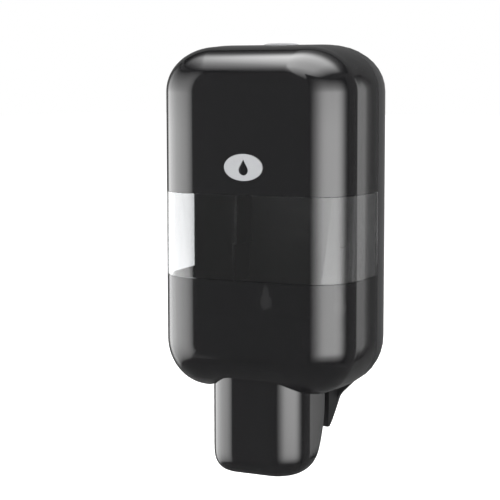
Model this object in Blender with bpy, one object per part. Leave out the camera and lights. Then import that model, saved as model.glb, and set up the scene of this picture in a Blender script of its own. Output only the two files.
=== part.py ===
"""Wall mounted soap dispenser, modelled as an assembly of its separate pieces.

X runs to the right, Y from the front of the cover (negative) to the wall (Y = 0), Z up.
The origin is the middle of the back plate's rear face. Lengths are in metres.

The housing hangs on the wall. The cover is hinged to it at the bottom and is held at the
top by a push-button latch. The push lever hangs in the cover on a steel axle, and its
fork works the pump of the refill, which stands in the nozzle cradle.
"""
import math

import bmesh
import bpy
from mathutils import Vector

MM = 0.001

# Overall sizes
BODY_WIDTH = 112 * MM
BODY_HEIGHT = 186 * MM
BODY_DEPTH = 80 * MM
HOUSING_DEPTH = 30 * MM
LEVER_DROP = 43.5 * MM

# Clearances and walls
GAP = 0.3 * MM
RUNNING_GAP = 0.6 * MM
OVERSHOOT = 1.0 * MM
COVER_WALL = 2.4 * MM
HOUSING_WALL = 2.4 * MM
BACK_WALL = 3.0 * MM

# Outline of the body, seen from the front: corner radii along X and Z
TOP_CORNER = (30 * MM, 25 * MM)
BOTTOM_CORNER = (26 * MM, 27.5 * MM)
SMALLEST_CORNER = 3 * MM
DRAFT = 1.2 * MM

# Rounding of the cover's front edge and of the housing's rear edge:
# how far it reaches inwards at the sides, top and bottom, and along the depth
FRONT_ROUND = {"side": 24 * MM, "top": 14 * MM, "bottom": 22 * MM, "depth": 24 * MM}
REAR_ROUND = {"side": 18 * MM, "top": 14 * MM, "bottom": 14 * MM, "depth": 26 * MM}

# Clear band of the cover, above the body's lowest point
BAND_BOTTOM = 62.5 * MM
BAND_HEIGHT = 45 * MM

# Emblem on the cover's front
EMBLEM_SIZE = (22 * MM, 14 * MM)
EMBLEM_HEIGHT = 122 * MM
EMBLEM_THICKNESS = 0.9 * MM
EMBLEM_PROUD = 0.3 * MM
DROP_SIZE = (5.4 * MM, 8.4 * MM)
DROP_ARC = (155, 385)

# Cover hinge
HINGE_BEHIND_SPLIT = 3 * MM
HINGE_ABOVE_BOTTOM = 6.5 * MM
HINGE_PIN_RADIUS = 1.5 * MM
HINGE_EYE_RADIUS = 2.9 * MM
HINGE_EYE_WIDTH = 3.5 * MM
HINGE_LUG_X = 33 * MM
HINGE_RELIEF = 4.2 * MM
HINGE_ARM = 12 * MM

# Keyhole slots for the wall screws
KEYHOLE_SPACING_X = 46 * MM
KEYHOLE_SPACING_Z = 108 * MM
KEYHOLE_RADIUS = 4.6 * MM
KEYHOLE_NECK = 2.4 * MM
KEYHOLE_RISE = 9.6 * MM

# Square holes below the lower keyholes
PORT_SIZE = (5.0 * MM, 4.4 * MM)
PORT_POSITIONS_X = (7.4 * MM, 24.3 * MM)
PORT_DROP = 16.2 * MM

# Bottle guides on the back plate
GUIDE_X = 30.5 * MM
GUIDE_STEP = 2.4 * MM
GUIDE_WALL = 1.8 * MM
GUIDE_REACH = 20 * MM
GUIDE_FOOT = 7 * MM
GUIDE_BELOW_TOP = 32 * MM
GUIDE_STEP_ABOVE_BAND = 12 * MM
GUIDE_BELOW_BAND = 9.5 * MM

# Push lever
LEVER_WIDTH = 56 * MM
LEVER_SETBACK = 7 * MM
LEVER_DEPTH = 35 * MM
LEVER_WALL = 2.4 * MM
LEVER_INSIDE = 21 * MM
LEVER_CORNER = 17 * MM
LEVER_UPRIGHT = 6.5 * MM
LEVER_SWEEP_SETBACK = 6 * MM
LEVER_SWEEP_EXTRA = 2.5 * MM
LEVER_TOE = {"side": 13 * MM, "front": 8 * MM, "rear": 3 * MM, "height": 14 * MM}
LEVER_PIVOT_SETBACK = 22 * MM
LEVER_PIVOT_HEIGHT = 31 * MM
LEVER_EAR_RADIUS = 4.6 * MM
AXLE_RADIUS = 1.5 * MM

# Lifter fork on the lever
FORK_PLATE_HEIGHT = 12 * MM
FORK_PLATE_THICKNESS = 2 * MM
FORK_DROP = 8.5 * MM
FORK_SLOT = 18 * MM
FORK_ARM = (2.4 * MM, 4 * MM)
FORK_TIP_SETBACK = 1.5 * MM

# Lever mount behind the cover's front
MOUNT_STANDOFF = 2.1 * MM
MOUNT_PLATE = 2 * MM
MOUNT_CHEEK = 2.6 * MM
MOUNT_ABOVE_AXLE = 12 * MM
MOUNT_BELOW_AXLE = 15.6 * MM
MOUNT_CHEEK_BELOW_AXLE = 6 * MM
MOUNT_CHEEK_REACH = 5 * MM
MOUNT_SCREW_X = 20 * MM
MOUNT_SCREW_ABOVE_AXLE = 6 * MM
STOP_FROM_SIDE = 10 * MM
STOP_BELOW_AXLE = 12.4 * MM
STOP_RADIUS = 3.0 * MM

# Torsion springs on the axle
LEVER_SPRING_X = 14 * MM
LEVER_SPRING_RADIUS = 2.6 * MM
LEVER_SPRING_WIRE = 0.45 * MM
LEVER_SPRING_TURNS = 4
LEVER_SPRING_LAST_TURN = 0.22
LEVER_SPRING_PITCH = 1.6 * MM
LEVER_SPRING_LEG = 10 * MM
LEVER_SPRING_LAST_LEG = (7.5 * MM, 2 * MM)

# Nozzle cradle: half width, front and rear at each depth below the body's lowest point
CRADLE_WALL = 3 * MM
CRADLE_LEVELS = (
    # depth below, half width, front y, rear y
    (-5.5 * MM, 34.0 * MM, -22.5 * MM, -5.0 * MM),
    (1.5 * MM, 34.0 * MM, -22.5 * MM, -5.0 * MM),
    (9.0 * MM, 26.4 * MM, -22.5 * MM, -4.6 * MM),
    (11.0 * MM, 25.2 * MM, -22.5 * MM, -5.4 * MM),
    (18.5 * MM, 24.8 * MM, -22.5 * MM, -11.8 * MM),
    (23.5 * MM, 24.4 * MM, -22.0 * MM, -16.4 * MM),
    (25.6 * MM, 24.0 * MM, -20.8 * MM, -18.2 * MM),
)
CRADLE_MOUTH_LEVEL = 3
LEVER_PATH_BELOW = (1.5 * MM, 14 * MM)
LEVER_PATH_REAR = -10.2 * MM
CRADLE_PLATE = 2.4 * MM
CRADLE_PLATE_RISE = 18 * MM
CRADLE_TAB_RISE = 27.5 * MM
CRADLE_TAB_WIDTH = 9 * MM
CRADLE_SCREW_X = 16 * MM
CRADLE_SCREW_RISE = 22.8 * MM
SHELF_FORWARD = 18 * MM
SHELF_RISE = (2.0 * MM, 4.8 * MM)
SHELF_SLOT = 13 * MM
SHELF_SLOT_BEHIND = 3 * MM

# Latch and push button
BUTTON_SIZE = (20 * MM, 9 * MM)
BUTTON_BEFORE_SPLIT = 1.5 * MM
BUTTON_PROUD = 1.1 * MM
BUTTON_SKIRT = 5 * MM
BUTTON_RIM = 0.2 * MM
STEM_WIDTH = 8 * MM
STEM_DEPTH = 4 * MM
STEM_BOTTOM = 19 * MM
HOOK_THICKNESS = 2.4 * MM
HOOK_REACH = 10.4 * MM
HOOK_TOOTH = (2 * MM, 2.2 * MM)
CATCH_THICKNESS = 2 * MM
CATCH_WIDTH = 18 * MM
CATCH_FLANGE = 9 * MM
CATCH_FLANGE_HEIGHT = 1.6 * MM
BRACKET_WIDTH = 34 * MM
BRACKET_PLATE = 2.3 * MM
BRACKET_DROP = (13 * MM, 32 * MM)
BRACKET_WEB = 2 * MM
BRACKET_SCREW_X = 12 * MM
LOCK_SPRING_RADIUS = 1.9 * MM
LOCK_SPRING_WIRE = 0.35 * MM
LOCK_SPRING_TURNS = 4
LOCK_SPRING_HEIGHT = 5.2 * MM

# Small screws, all the same
SCREW_RADIUS = 1.2 * MM
SCREW_LENGTH = 5.0 * MM
SCREW_HEAD_RADIUS = 2.6 * MM
SCREW_HEAD = 1.7 * MM
SCREW_RECESS = 0.9 * MM
BOSS_RADIUS = 3.6 * MM
BOSS_HEIGHT = 2.2 * MM

# Mesh fineness
CORNER_STEPS = 9
ROUND_STEPS = 8
SWEEP_STEPS = 4
CIRCLE_SIDES = 28
COIL_STEPS = 14
SHANK_SIDES = 16
RECESS_SIDES = 6
KEYHOLE_STEPS = 20
NECK_STEPS = 8
DROP_STEPS = 16
DOME_STEPS = 5
DOME_END = 80
SHARP_ANGLE = 32

# Places worked out from the sizes above
TOP = BODY_HEIGHT / 2
BOTTOM = -BODY_HEIGHT / 2
FRONT = -BODY_DEPTH
SPLIT = -HOUSING_DEPTH
BACK_INNER = -BACK_WALL
BOSS_FACE = BACK_INNER - BOSS_HEIGHT
BAND_LOW = BOTTOM + BAND_BOTTOM
BAND_HIGH = BAND_LOW + BAND_HEIGHT
HINGE_Y = SPLIT + HINGE_BEHIND_SPLIT
HINGE_Z = BOTTOM + HINGE_ABOVE_BOTTOM
GUIDE_TOP = TOP - GUIDE_BELOW_TOP
GUIDE_STEP_Z = BAND_LOW + GUIDE_STEP_ABOVE_BAND
GUIDE_BOTTOM = BAND_LOW - GUIDE_BELOW_BAND
LEVER_FRONT = FRONT + LEVER_SETBACK
LEVER_REAR = LEVER_FRONT + LEVER_DEPTH
LEVER_TOP = BOTTOM + LEVER_INSIDE
LEVER_BOTTOM = BOTTOM - LEVER_DROP
LEVER_SWEEP_START = BOTTOM - LEVER_UPRIGHT
LEVER_SWEEP_Y = LEVER_FRONT + LEVER_SWEEP_SETBACK
LEVER_PIVOT_Y = FRONT + LEVER_PIVOT_SETBACK
LEVER_PIVOT_Z = BOTTOM + LEVER_PIVOT_HEIGHT
FORK_Z = BOTTOM - FORK_DROP
FORK_TIP_Y = LEVER_REAR - FORK_TIP_SETBACK
MOUNT_FRONT = FRONT + COVER_WALL + MOUNT_STANDOFF
MOUNT_REAR = MOUNT_FRONT + MOUNT_PLATE
MOUNT_HALF = LEVER_WIDTH / 2 + RUNNING_GAP + MOUNT_CHEEK
MOUNT_TOP = LEVER_PIVOT_Z + MOUNT_ABOVE_AXLE
MOUNT_BOTTOM = LEVER_PIVOT_Z - MOUNT_BELOW_AXLE
MOUNT_CHEEK_BOTTOM = LEVER_PIVOT_Z - MOUNT_CHEEK_BELOW_AXLE
MOUNT_SCREW_Z = LEVER_PIVOT_Z + MOUNT_SCREW_ABOVE_AXLE
STOP_X = LEVER_WIDTH / 2 - STOP_FROM_SIDE
STOP_Z = LEVER_PIVOT_Z - STOP_BELOW_AXLE
CRADLE_BACK_Y = BOSS_FACE - GAP
CRADLE_SCREW_Z = BOTTOM + CRADLE_SCREW_RISE
SHELF_HALF = LEVER_WIDTH / 2 - LEVER_WALL - 2 * RUNNING_GAP
SHELF_FRONT_Y = SPLIT - SHELF_FORWARD
SHELF_Z = (BOTTOM + SHELF_RISE[0], BOTTOM + SHELF_RISE[1])
SHELF_SLOT_END_Y = SPLIT + SHELF_SLOT_BEHIND
BUTTON_Y = SPLIT - BUTTON_BEFORE_SPLIT
BRACKET_SCREW_Z = TOP - sum(BRACKET_DROP) / 2
SPRING_FLOOR = TOP - STEM_BOTTOM - LOCK_SPRING_HEIGHT - 2 * GAP

COLOURS = {
    "gloss_black": ((0.016, 0.016, 0.017), 0.12, 0.0),
    "smoke": ((0.012, 0.012, 0.013), 0.10, 0.0),
    "clear": ((0.75, 0.77, 0.78), 0.05, 0.0),
    "housing_grey": ((0.050, 0.050, 0.052), 0.45, 0.0),
    "matte_black": ((0.020, 0.020, 0.021), 0.50, 0.0),
    "light_grey": ((0.42, 0.42, 0.43), 0.35, 0.0),
    "steel": ((0.56, 0.56, 0.58), 0.28, 1.0),
    "rubber": ((0.03, 0.03, 0.03), 0.85, 0.0),
}


def clear_scene():
    """Remove the objects that Blender starts with."""
    for obj in list(bpy.data.objects):
        bpy.data.objects.remove(obj, do_unlink=True)


def finish_of(name):
    """A new Principled material with the named colour, roughness and metallic value."""
    colour, roughness, metallic = COLOURS[name]
    material = bpy.data.materials.new(name)
    material.use_nodes = True
    shader = material.node_tree.nodes["Principled BSDF"]
    shader.inputs["Base Color"].default_value = (*colour, 1.0)
    shader.inputs["Roughness"].default_value = roughness
    shader.inputs["Metallic"].default_value = metallic
    return material


# ---- basic solids ---------------------------------------------------------------------


def to_object(name, mesh):
    """Link a mesh to the scene under the given name, smooth over its round stretches."""
    mesh.shade_smooth()
    mesh.set_sharp_from_angle(angle=math.radians(SHARP_ANGLE))
    obj = bpy.data.objects.new(name, mesh)
    bpy.context.scene.collection.objects.link(obj)
    return obj


def loft(name, rings):
    """A closed solid through rings of points, with a flat cap on the first and last ring."""
    grid = bmesh.new()
    loops = [[grid.verts.new(point) for point in ring] for ring in rings]
    count = len(loops[0])
    for lower, upper in zip(loops, loops[1:]):
        for i in range(count):
            j = (i + 1) % count
            grid.faces.new((lower[i], lower[j], upper[j], upper[i]))
    grid.faces.new(loops[0])
    grid.faces.new(loops[-1])
    bmesh.ops.recalc_face_normals(grid, faces=grid.faces)
    mesh = bpy.data.meshes.new(name)
    grid.to_mesh(mesh)
    grid.free()
    return to_object(name, mesh)


def prism(name, outline, axis, low, high):
    """Extrude a flat outline along X, Y or Z between two positions."""
    build = {
        "X": lambda a, b, along: Vector((along, a, b)),
        "Y": lambda a, b, along: Vector((a, along, b)),
        "Z": lambda a, b, along: Vector((a, b, along)),
    }[axis]
    return loft(name, [[build(a, b, along) for a, b in outline] for along in (low, high)])


def block(name, x_range, y_range, z_range):
    """A box between pairs of coordinates."""
    corners = ((x_range[0], y_range[0]), (x_range[1], y_range[0]),
               (x_range[1], y_range[1]), (x_range[0], y_range[1]))
    return prism(name, corners, "Z", *z_range)


def circle(radius, centre=(0.0, 0.0), sides=CIRCLE_SIDES):
    """Points of a circle in a plane."""
    turn = 2 * math.pi / sides
    return [(centre[0] + radius * math.cos(i * turn), centre[1] + radius * math.sin(i * turn))
            for i in range(sides)]


def rod(name, axis, centre, radius, low, high, sides=CIRCLE_SIDES):
    """A round bar along X, Y or Z; the centre gives the two other coordinates."""
    return prism(name, circle(radius, centre, sides), axis, low, high)


def combine(target, operation, *tools):
    """Boolean the tools into the target, which stays one body."""
    for tool in tools:
        tool.hide_render = True
        tool.display_type = 'WIRE'
        step = target.modifiers.new(tool.name, 'BOOLEAN')
        step.operation = operation
        step.object = tool
    return target


def subtract(target, *tools):
    return combine(target, 'DIFFERENCE', *tools)


def unite(target, *tools):
    return combine(target, 'UNION', *tools)


def keep_inside(target, tool):
    return combine(target, 'INTERSECT', tool)


def wire_coil(name, points, radius):
    """Round wire along a list of points, closed at both ends."""
    curve = bpy.data.curves.new(name, 'CURVE')
    curve.dimensions = '3D'
    curve.bevel_depth = radius
    curve.bevel_resolution = 1
    curve.use_fill_caps = True
    spline = curve.splines.new('POLY')
    spline.points.add(len(points) - 1)
    for item, point in zip(spline.points, points):
        item.co = (*point, 1.0)
    obj = bpy.data.objects.new(name, curve)
    bpy.context.scene.collection.objects.link(obj)
    return obj


def finish(obj, material):
    """Give a piece its own material."""
    obj.data.materials.clear()
    obj.data.materials.append(finish_of(material))
    return obj


# ---- body outline ---------------------------------------------------------------------


def rounded_outline(half_width, low, high, top_corner, bottom_corner):
    """Rectangle with elliptical corners, as (x, z) pairs, anticlockwise from the right."""
    corners = (
        (1, high - top_corner[1], top_corner, 0),
        (-1, high - top_corner[1], top_corner, 90),
        (-1, low + bottom_corner[1], bottom_corner, 180),
        (1, low + bottom_corner[1], bottom_corner, 270),
    )
    points = []
    for side, centre_z, (radius_x, radius_z), start in corners:
        centre_x = side * (half_width - radius_x)
        for i in range(CORNER_STEPS + 1):
            angle = math.radians(start + 90 * i / CORNER_STEPS)
            points.append((centre_x + radius_x * math.cos(angle),
                           centre_z + radius_z * math.sin(angle)))
    return points


def body_ring(y, side, top, bottom):
    """The body's outline at one depth, moved inwards at the sides, top and bottom."""
    def corner(radii, inward_z):
        return tuple(max(radius - inward, SMALLEST_CORNER)
                     for radius, inward in zip(radii, (side, inward_z)))
    outline = rounded_outline(BODY_WIDTH / 2 - side, BOTTOM + bottom, TOP - top,
                              corner(TOP_CORNER, top), corner(BOTTOM_CORNER, bottom))
    return [Vector((x, y, z)) for x, z in outline]


def shell_rings(open_y, end_y, rounding, wall, draft):
    """Rings from the open rim to the closed end, whose edge is rounded.

    The wall moves the whole surface inwards, with the rounding kept concentric.
    """
    toward = 1 if end_y > open_y else -1
    depth = rounding["depth"] - wall
    start_y = end_y - toward * depth
    rings = [body_ring(open_y, wall, wall, wall)]
    for i in range(ROUND_STEPS + 1):
        angle = math.radians(90 * i / ROUND_STEPS)
        lean = draft + wall
        inward = 1 - math.cos(angle)
        rings.append(body_ring(
            start_y + toward * depth * math.sin(angle),
            lean + (rounding["side"] - wall) * inward,
            lean + (rounding["top"] - wall) * inward,
            lean + (rounding["bottom"] - wall) * inward))
    return rings


def half_space(name, low_z, high_z):
    """A block wider than the body between two heights."""
    reach = BODY_WIDTH
    return block(name, (-reach, reach), (FRONT - reach, reach), (low_z, high_z))


# ---- fasteners ------------------------------------------------------------------------


def screw(name, x, z, seat_y, into):
    """Small screw along Y: its head lies on the seat, its shank runs into the boss.

    into is +1 when the shank points to the wall and -1 when it points to the front.
    """
    head_start = seat_y - into * GAP
    head_end = head_start - into * SCREW_HEAD
    shank_end = seat_y + into * SCREW_LENGTH
    head = rod(name, "Y", (x, z), SCREW_HEAD_RADIUS, head_start, head_end)
    shank = rod(name + "_shank", "Y", (x, z), SCREW_RADIUS, head_start - into * SCREW_HEAD / 2,
                shank_end, SHANK_SIDES)
    recess = rod(name + "_recess", "Y", (x, z), SCREW_RADIUS, head_end - into * OVERSHOOT,
                 head_end + into * SCREW_RECESS, RECESS_SIDES)
    unite(head, shank)
    subtract(head, recess)
    return finish(head, "steel")


def screw_hole(name, x, z, low, high):
    """Clearance hole for a small screw."""
    return rod(name, "Y", (x, z), SCREW_RADIUS + GAP, low, high, SHANK_SIDES)


# ---- housing --------------------------------------------------------------------------


def keyhole_outline(x, z):
    """Round entry with a narrow neck above it, as (x, z) pairs."""
    half = math.degrees(math.asin(KEYHOLE_NECK / KEYHOLE_RADIUS))
    points = []
    for i in range(KEYHOLE_STEPS + 1):
        angle = math.radians(90 + half + (360 - 2 * half) * i / KEYHOLE_STEPS)
        points.append((x + KEYHOLE_RADIUS * math.cos(angle), z + KEYHOLE_RADIUS * math.sin(angle)))
    neck_z = z + KEYHOLE_RISE - KEYHOLE_NECK
    for i in range(NECK_STEPS + 1):
        angle = math.radians(180 * i / NECK_STEPS)
        points.append((x + KEYHOLE_NECK * math.cos(angle), neck_z + KEYHOLE_NECK * math.sin(angle)))
    return points


def button_outline(grow):
    """Oval of the push button, as (x, y) pairs, grown by a clearance."""
    half_x = BUTTON_SIZE[0] / 2 + grow
    half_y = BUTTON_SIZE[1] / 2 + grow
    turn = 2 * math.pi / CIRCLE_SIDES
    return [(half_x * math.cos(i * turn), BUTTON_Y + half_y * math.sin(i * turn))
            for i in range(CIRCLE_SIDES)]


def hinge_eye(name, x_low, arm_end_y, arm_floor):
    """Eye round the hinge pin with an arm, extruded along X."""
    profile_eye = rod(name, "X", (HINGE_Y, HINGE_Z), HINGE_EYE_RADIUS, x_low,
                      x_low + HINGE_EYE_WIDTH)
    arm_y = sorted((HINGE_Y, arm_end_y))
    arm = block(name + "_arm", (x_low, x_low + HINGE_EYE_WIDTH), arm_y,
                (arm_floor, HINGE_Z + HINGE_EYE_RADIUS))
    return unite(profile_eye, arm)


def pin_bore(name, x_low, x_high):
    return rod(name, "X", (HINGE_Y, HINGE_Z), HINGE_PIN_RADIUS + GAP, x_low, x_high)


def eye_position(side, inner):
    """Low X of an eye of the given width whose inner face is at a distance from the middle."""
    return inner if side > 0 else -inner - HINGE_EYE_WIDTH


def make_housing():
    """Back plate and rim in one moulding, with keyholes, bosses and hinge eyes."""
    housing = loft("rear_housing", shell_rings(SPLIT, 0.0, REAR_ROUND, 0.0, 0.0))
    inner = loft("housing_inner",
                 shell_rings(SPLIT - OVERSHOOT, BACK_INNER, REAR_ROUND, HOUSING_WALL, 0.0))
    relief = block("hinge_relief", (-BODY_WIDTH, BODY_WIDTH),
                   (SPLIT - OVERSHOOT, HINGE_Y + HINGE_RELIEF), (BOTTOM - OVERSHOOT, HINGE_Z + GAP))
    subtract(housing, inner, relief)
    for name, side in (("left", -1), ("right", 1)):
        low = eye_position(side, HINGE_LUG_X + HINGE_EYE_WIDTH + GAP)
        unite(housing, hinge_eye("housing_eye_" + name, low, HINGE_Y + HINGE_ARM,
                                 HINGE_Z - HINGE_EYE_RADIUS))
        subtract(housing, pin_bore("housing_bore_" + name, low - OVERSHOOT,
                                   low + HINGE_EYE_WIDTH + OVERSHOOT))
        for label, x, z in (("cradle", CRADLE_SCREW_X, CRADLE_SCREW_Z),
                            ("bracket", BRACKET_SCREW_X, BRACKET_SCREW_Z)):
            boss_name = label + "_boss_" + name
            unite(housing, rod(boss_name, "Y", (side * x, z), BOSS_RADIUS, BOSS_FACE,
                               BACK_INNER + BACK_WALL / 2))
            subtract(housing, screw_hole(boss_name + "_hole", side * x, z,
                                         BOSS_FACE - OVERSHOOT, BACK_INNER + BACK_WALL / 2))
        for row, z in (("upper", KEYHOLE_SPACING_Z / 2), ("lower", -KEYHOLE_SPACING_Z / 2)):
            subtract(housing, prism("keyhole_" + row + "_" + name,
                                    keyhole_outline(side * KEYHOLE_SPACING_X / 2, z), "Y",
                                    BACK_INNER - OVERSHOOT, OVERSHOOT))
        for column, x in enumerate(PORT_POSITIONS_X):
            z = -KEYHOLE_SPACING_Z / 2 - PORT_DROP
            subtract(housing, block("port_%s_%d" % (name, column),
                                    (side * x - PORT_SIZE[0] / 2, side * x + PORT_SIZE[0] / 2),
                                    (BACK_INNER - OVERSHOOT, OVERSHOOT),
                                    (z - PORT_SIZE[1] / 2, z + PORT_SIZE[1] / 2)))
    subtract(housing, prism("housing_button_notch", button_outline(RUNNING_GAP), "Z",
                            TOP - BUTTON_SKIRT * 2, TOP + OVERSHOOT * 2))
    subtract(housing, loft("cradle_opening", cradle_rings(GAP)))
    return finish(housing, "housing_grey")


def make_hinge_pins():
    """One steel pin on each side, through the cover's lug and the housing's eye."""
    for name, side in (("left", -1), ("right", 1)):
        ends = sorted((side * (HINGE_LUG_X - GAP),
                       side * (HINGE_LUG_X + 2 * HINGE_EYE_WIDTH + 2 * GAP)))
        pin = rod("hinge_pin_" + name, "X", (HINGE_Y, HINGE_Z), HINGE_PIN_RADIUS, *ends)
        finish(pin, "steel")


def make_bottle_guides():
    """Two upright guides on the back plate that keep the refill bottle in the middle."""
    back = BACK_INNER - GAP
    for name, side in (("left", -1), ("right", 1)):
        def part(label, x_inner, z_low, z_high, reach, width):
            x_range = sorted((side * x_inner, side * (x_inner + width)))
            return block("guide_" + label + "_" + name, x_range, (back - reach, back),
                         (z_low, z_high))
        guide = part("foot", GUIDE_X, GUIDE_STEP_Z, GUIDE_TOP, GUIDE_WALL, GUIDE_FOOT)
        guide.name = "bottle_guide_" + name
        unite(guide,
              part("upper", GUIDE_X, GUIDE_STEP_Z, GUIDE_TOP, GUIDE_REACH, GUIDE_WALL),
              part("lower_foot", GUIDE_X + GUIDE_STEP, GUIDE_BOTTOM, GUIDE_STEP_Z + OVERSHOOT,
                   GUIDE_WALL, GUIDE_FOOT - GUIDE_STEP),
              part("lower", GUIDE_X + GUIDE_STEP - GUIDE_WALL / 2, GUIDE_BOTTOM,
                   GUIDE_STEP_Z + OVERSHOOT, GUIDE_REACH, GUIDE_WALL))
        finish(guide, "matte_black")


# ---- nozzle cradle --------------------------------------------------------------------


def cradle_rings(grow):
    """Outer form of the cradle below the housing, grown by a clearance."""
    rings = []
    for below, half, front, rear in CRADLE_LEVELS:
        rings.append([Vector((x, y, BOTTOM - below)) for x, y in (
            (-half - grow, front - grow), (half + grow, front - grow),
            (half + grow, rear + grow), (-half - grow, rear + grow))])
    if grow > 0:
        raised = [point + Vector((0, 0, HINGE_ARM)) for point in rings[0]]
        rings.insert(0, raised)
    return rings


def make_cradle():
    """Cradle with two cheeks, a back plate screwed to the housing and a neck shelf."""
    cradle = loft("nozzle_cradle", cradle_rings(0.0))
    half = CRADLE_LEVELS[-1][1] - CRADLE_WALL
    front = CRADLE_LEVELS[0][2] - OVERSHOOT
    plate_y = (CRADLE_BACK_Y - CRADLE_PLATE, CRADLE_BACK_Y)
    floor = BOTTOM - CRADLE_LEVELS[-1][0] - OVERSHOOT
    ceiling = BOTTOM - CRADLE_LEVELS[0][0] + OVERSHOOT
    mouth = BOTTOM - CRADLE_LEVELS[CRADLE_MOUTH_LEVEL][0]
    subtract(cradle,
             block("cradle_channel", (-half, half), (front, plate_y[0]), (floor, ceiling)),
             block("cradle_mouth", (-half, half), (front, 0.0), (floor, mouth)))
    for name, side in (("left", -1), ("right", 1)):
        path_x = sorted((side * (LEVER_WIDTH / 2 - LEVER_WALL - RUNNING_GAP), side * BODY_WIDTH))
        subtract(cradle, block("lever_path_" + name, path_x, (front, LEVER_PATH_REAR),
                               (BOTTOM - LEVER_PATH_BELOW[1], BOTTOM - LEVER_PATH_BELOW[0])))
    root_z = BOTTOM - CRADLE_LEVELS[1][0]
    unite(cradle,
          block("cradle_plate", (-half - OVERSHOOT, half + OVERSHOOT), plate_y,
                (root_z, BOTTOM + CRADLE_PLATE_RISE)),
          block("cradle_shelf", (-SHELF_HALF, SHELF_HALF),
                (SHELF_FRONT_Y, plate_y[0] + CRADLE_PLATE / 2), SHELF_Z))
    slot_y = SHELF_SLOT_END_Y - SHELF_SLOT
    slot_z = (SHELF_Z[0] - OVERSHOOT, SHELF_Z[1] + OVERSHOOT)
    subtract(cradle,
             block("shelf_slot", (-SHELF_SLOT, SHELF_SLOT), (SHELF_FRONT_Y - OVERSHOOT, slot_y),
                   slot_z),
             rod("shelf_slot_end", "Z", (0.0, slot_y), SHELF_SLOT, *slot_z))
    for name, side in (("left", -1), ("right", 1)):
        x = side * CRADLE_SCREW_X
        unite(cradle, block("cradle_tab_" + name,
                            (x - CRADLE_TAB_WIDTH / 2, x + CRADLE_TAB_WIDTH / 2), plate_y,
                            (root_z, BOTTOM + CRADLE_TAB_RISE)))
        subtract(cradle, screw_hole("cradle_hole_" + name, x, CRADLE_SCREW_Z,
                                    plate_y[0] - OVERSHOOT, OVERSHOOT))
        screw("cradle_screw_" + name, x, CRADLE_SCREW_Z, plate_y[0], 1)
    return finish(cradle, "matte_black")


# ---- latch ----------------------------------------------------------------------------


def make_lock_bracket():
    """Bracket on the back plate: two webs guide the latch slider and a floor takes its spring."""
    rear = BOSS_FACE - GAP
    front = rear - BRACKET_PLATE
    high, low = TOP - BRACKET_DROP[0], TOP - BRACKET_DROP[1]
    bracket = block("lock_bracket", (-BRACKET_WIDTH / 2, BRACKET_WIDTH / 2), (front, rear), (low, high))
    reach = BUTTON_Y - STEM_DEPTH
    web_in = STEM_WIDTH / 2 + RUNNING_GAP
    floor_top = SPRING_FLOOR
    for name, side in (("left", -1), ("right", 1)):
        web_x = sorted((side * web_in, side * (web_in + BRACKET_WEB)))
        unite(bracket, block("bracket_web_" + name, web_x, (reach, rear - BRACKET_PLATE / 2),
                             (floor_top - BRACKET_WEB, high)))
        x = side * BRACKET_SCREW_X
        subtract(bracket, screw_hole("bracket_hole_" + name, x, BRACKET_SCREW_Z,
                                     front - OVERSHOOT, OVERSHOOT))
        screw("bracket_screw_" + name, x, BRACKET_SCREW_Z, front, 1)
    half = web_in + BRACKET_WEB / 2
    unite(bracket, block("bracket_floor", (-half, half), (reach, rear - BRACKET_PLATE / 2),
                         (floor_top - BRACKET_WEB, floor_top)))
    rear_stop = BUTTON_Y + STEM_DEPTH / 2 + RUNNING_GAP
    unite(bracket, block("bracket_guide", (-half, half), (rear_stop, rear_stop + BRACKET_WEB),
                         (floor_top - BRACKET_WEB / 2, high)))
    return finish(bracket, "matte_black")


def make_button():
    """Light oval button with a domed top."""
    rings = []
    for height in (-BUTTON_SKIRT, BUTTON_RIM):
        rings.append([Vector((x, y, TOP + height)) for x, y in button_outline(0.0)])
    for i in range(1, DOME_STEPS + 1):
        angle = math.radians(DOME_END * i / DOME_STEPS)
        scale = math.cos(angle)
        z = TOP + BUTTON_RIM + (BUTTON_PROUD - BUTTON_RIM) * math.sin(angle)
        rings.append([Vector((x * scale, BUTTON_Y + (y - BUTTON_Y) * scale, z))
                      for x, y in button_outline(0.0)])
    return finish(loft("lock_button", rings), "light_grey")


def make_latch_slider():
    """Stem under the button with a forward hook, drawn at the height where it clears the catch."""
    half = STEM_WIDTH / 2
    stem_y = (BUTTON_Y - STEM_DEPTH / 2, BUTTON_Y + STEM_DEPTH / 2)
    bottom = TOP - STEM_BOTTOM
    slider = block("latch_slider", (-half, half), stem_y, (bottom, TOP - BUTTON_SKIRT - GAP))
    tip_y = BUTTON_Y - HOOK_REACH
    arm = block("hook_arm", (-half, half), (tip_y, BUTTON_Y), (bottom, bottom + HOOK_THICKNESS))
    tooth = prism("hook_tooth", (
        (tip_y, bottom + HOOK_THICKNESS / 2),
        (tip_y + HOOK_TOOTH[0], bottom + HOOK_THICKNESS / 2),
        (tip_y + HOOK_TOOTH[0], bottom + HOOK_THICKNESS + HOOK_TOOTH[1]),
        (tip_y + HOOK_TOOTH[0] / 2, bottom + HOOK_THICKNESS + HOOK_TOOTH[1])), "X", -half, half)
    unite(slider, arm, tooth)
    return finish(slider, "matte_black")


def make_lock_spring():
    """Compression spring that lifts the latch slider."""
    floor = SPRING_FLOOR + GAP + LOCK_SPRING_WIRE
    rise = LOCK_SPRING_HEIGHT - 2 * LOCK_SPRING_WIRE
    count = LOCK_SPRING_TURNS * COIL_STEPS
    points = []
    for i in range(count + 1):
        angle = 2 * math.pi * i / COIL_STEPS
        points.append((LOCK_SPRING_RADIUS * math.cos(angle),
                       BUTTON_Y + LOCK_SPRING_RADIUS * math.sin(angle),
                       floor + rise * i / count))
    return finish(wire_coil("lock_spring", points, LOCK_SPRING_WIRE), "steel")


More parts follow.
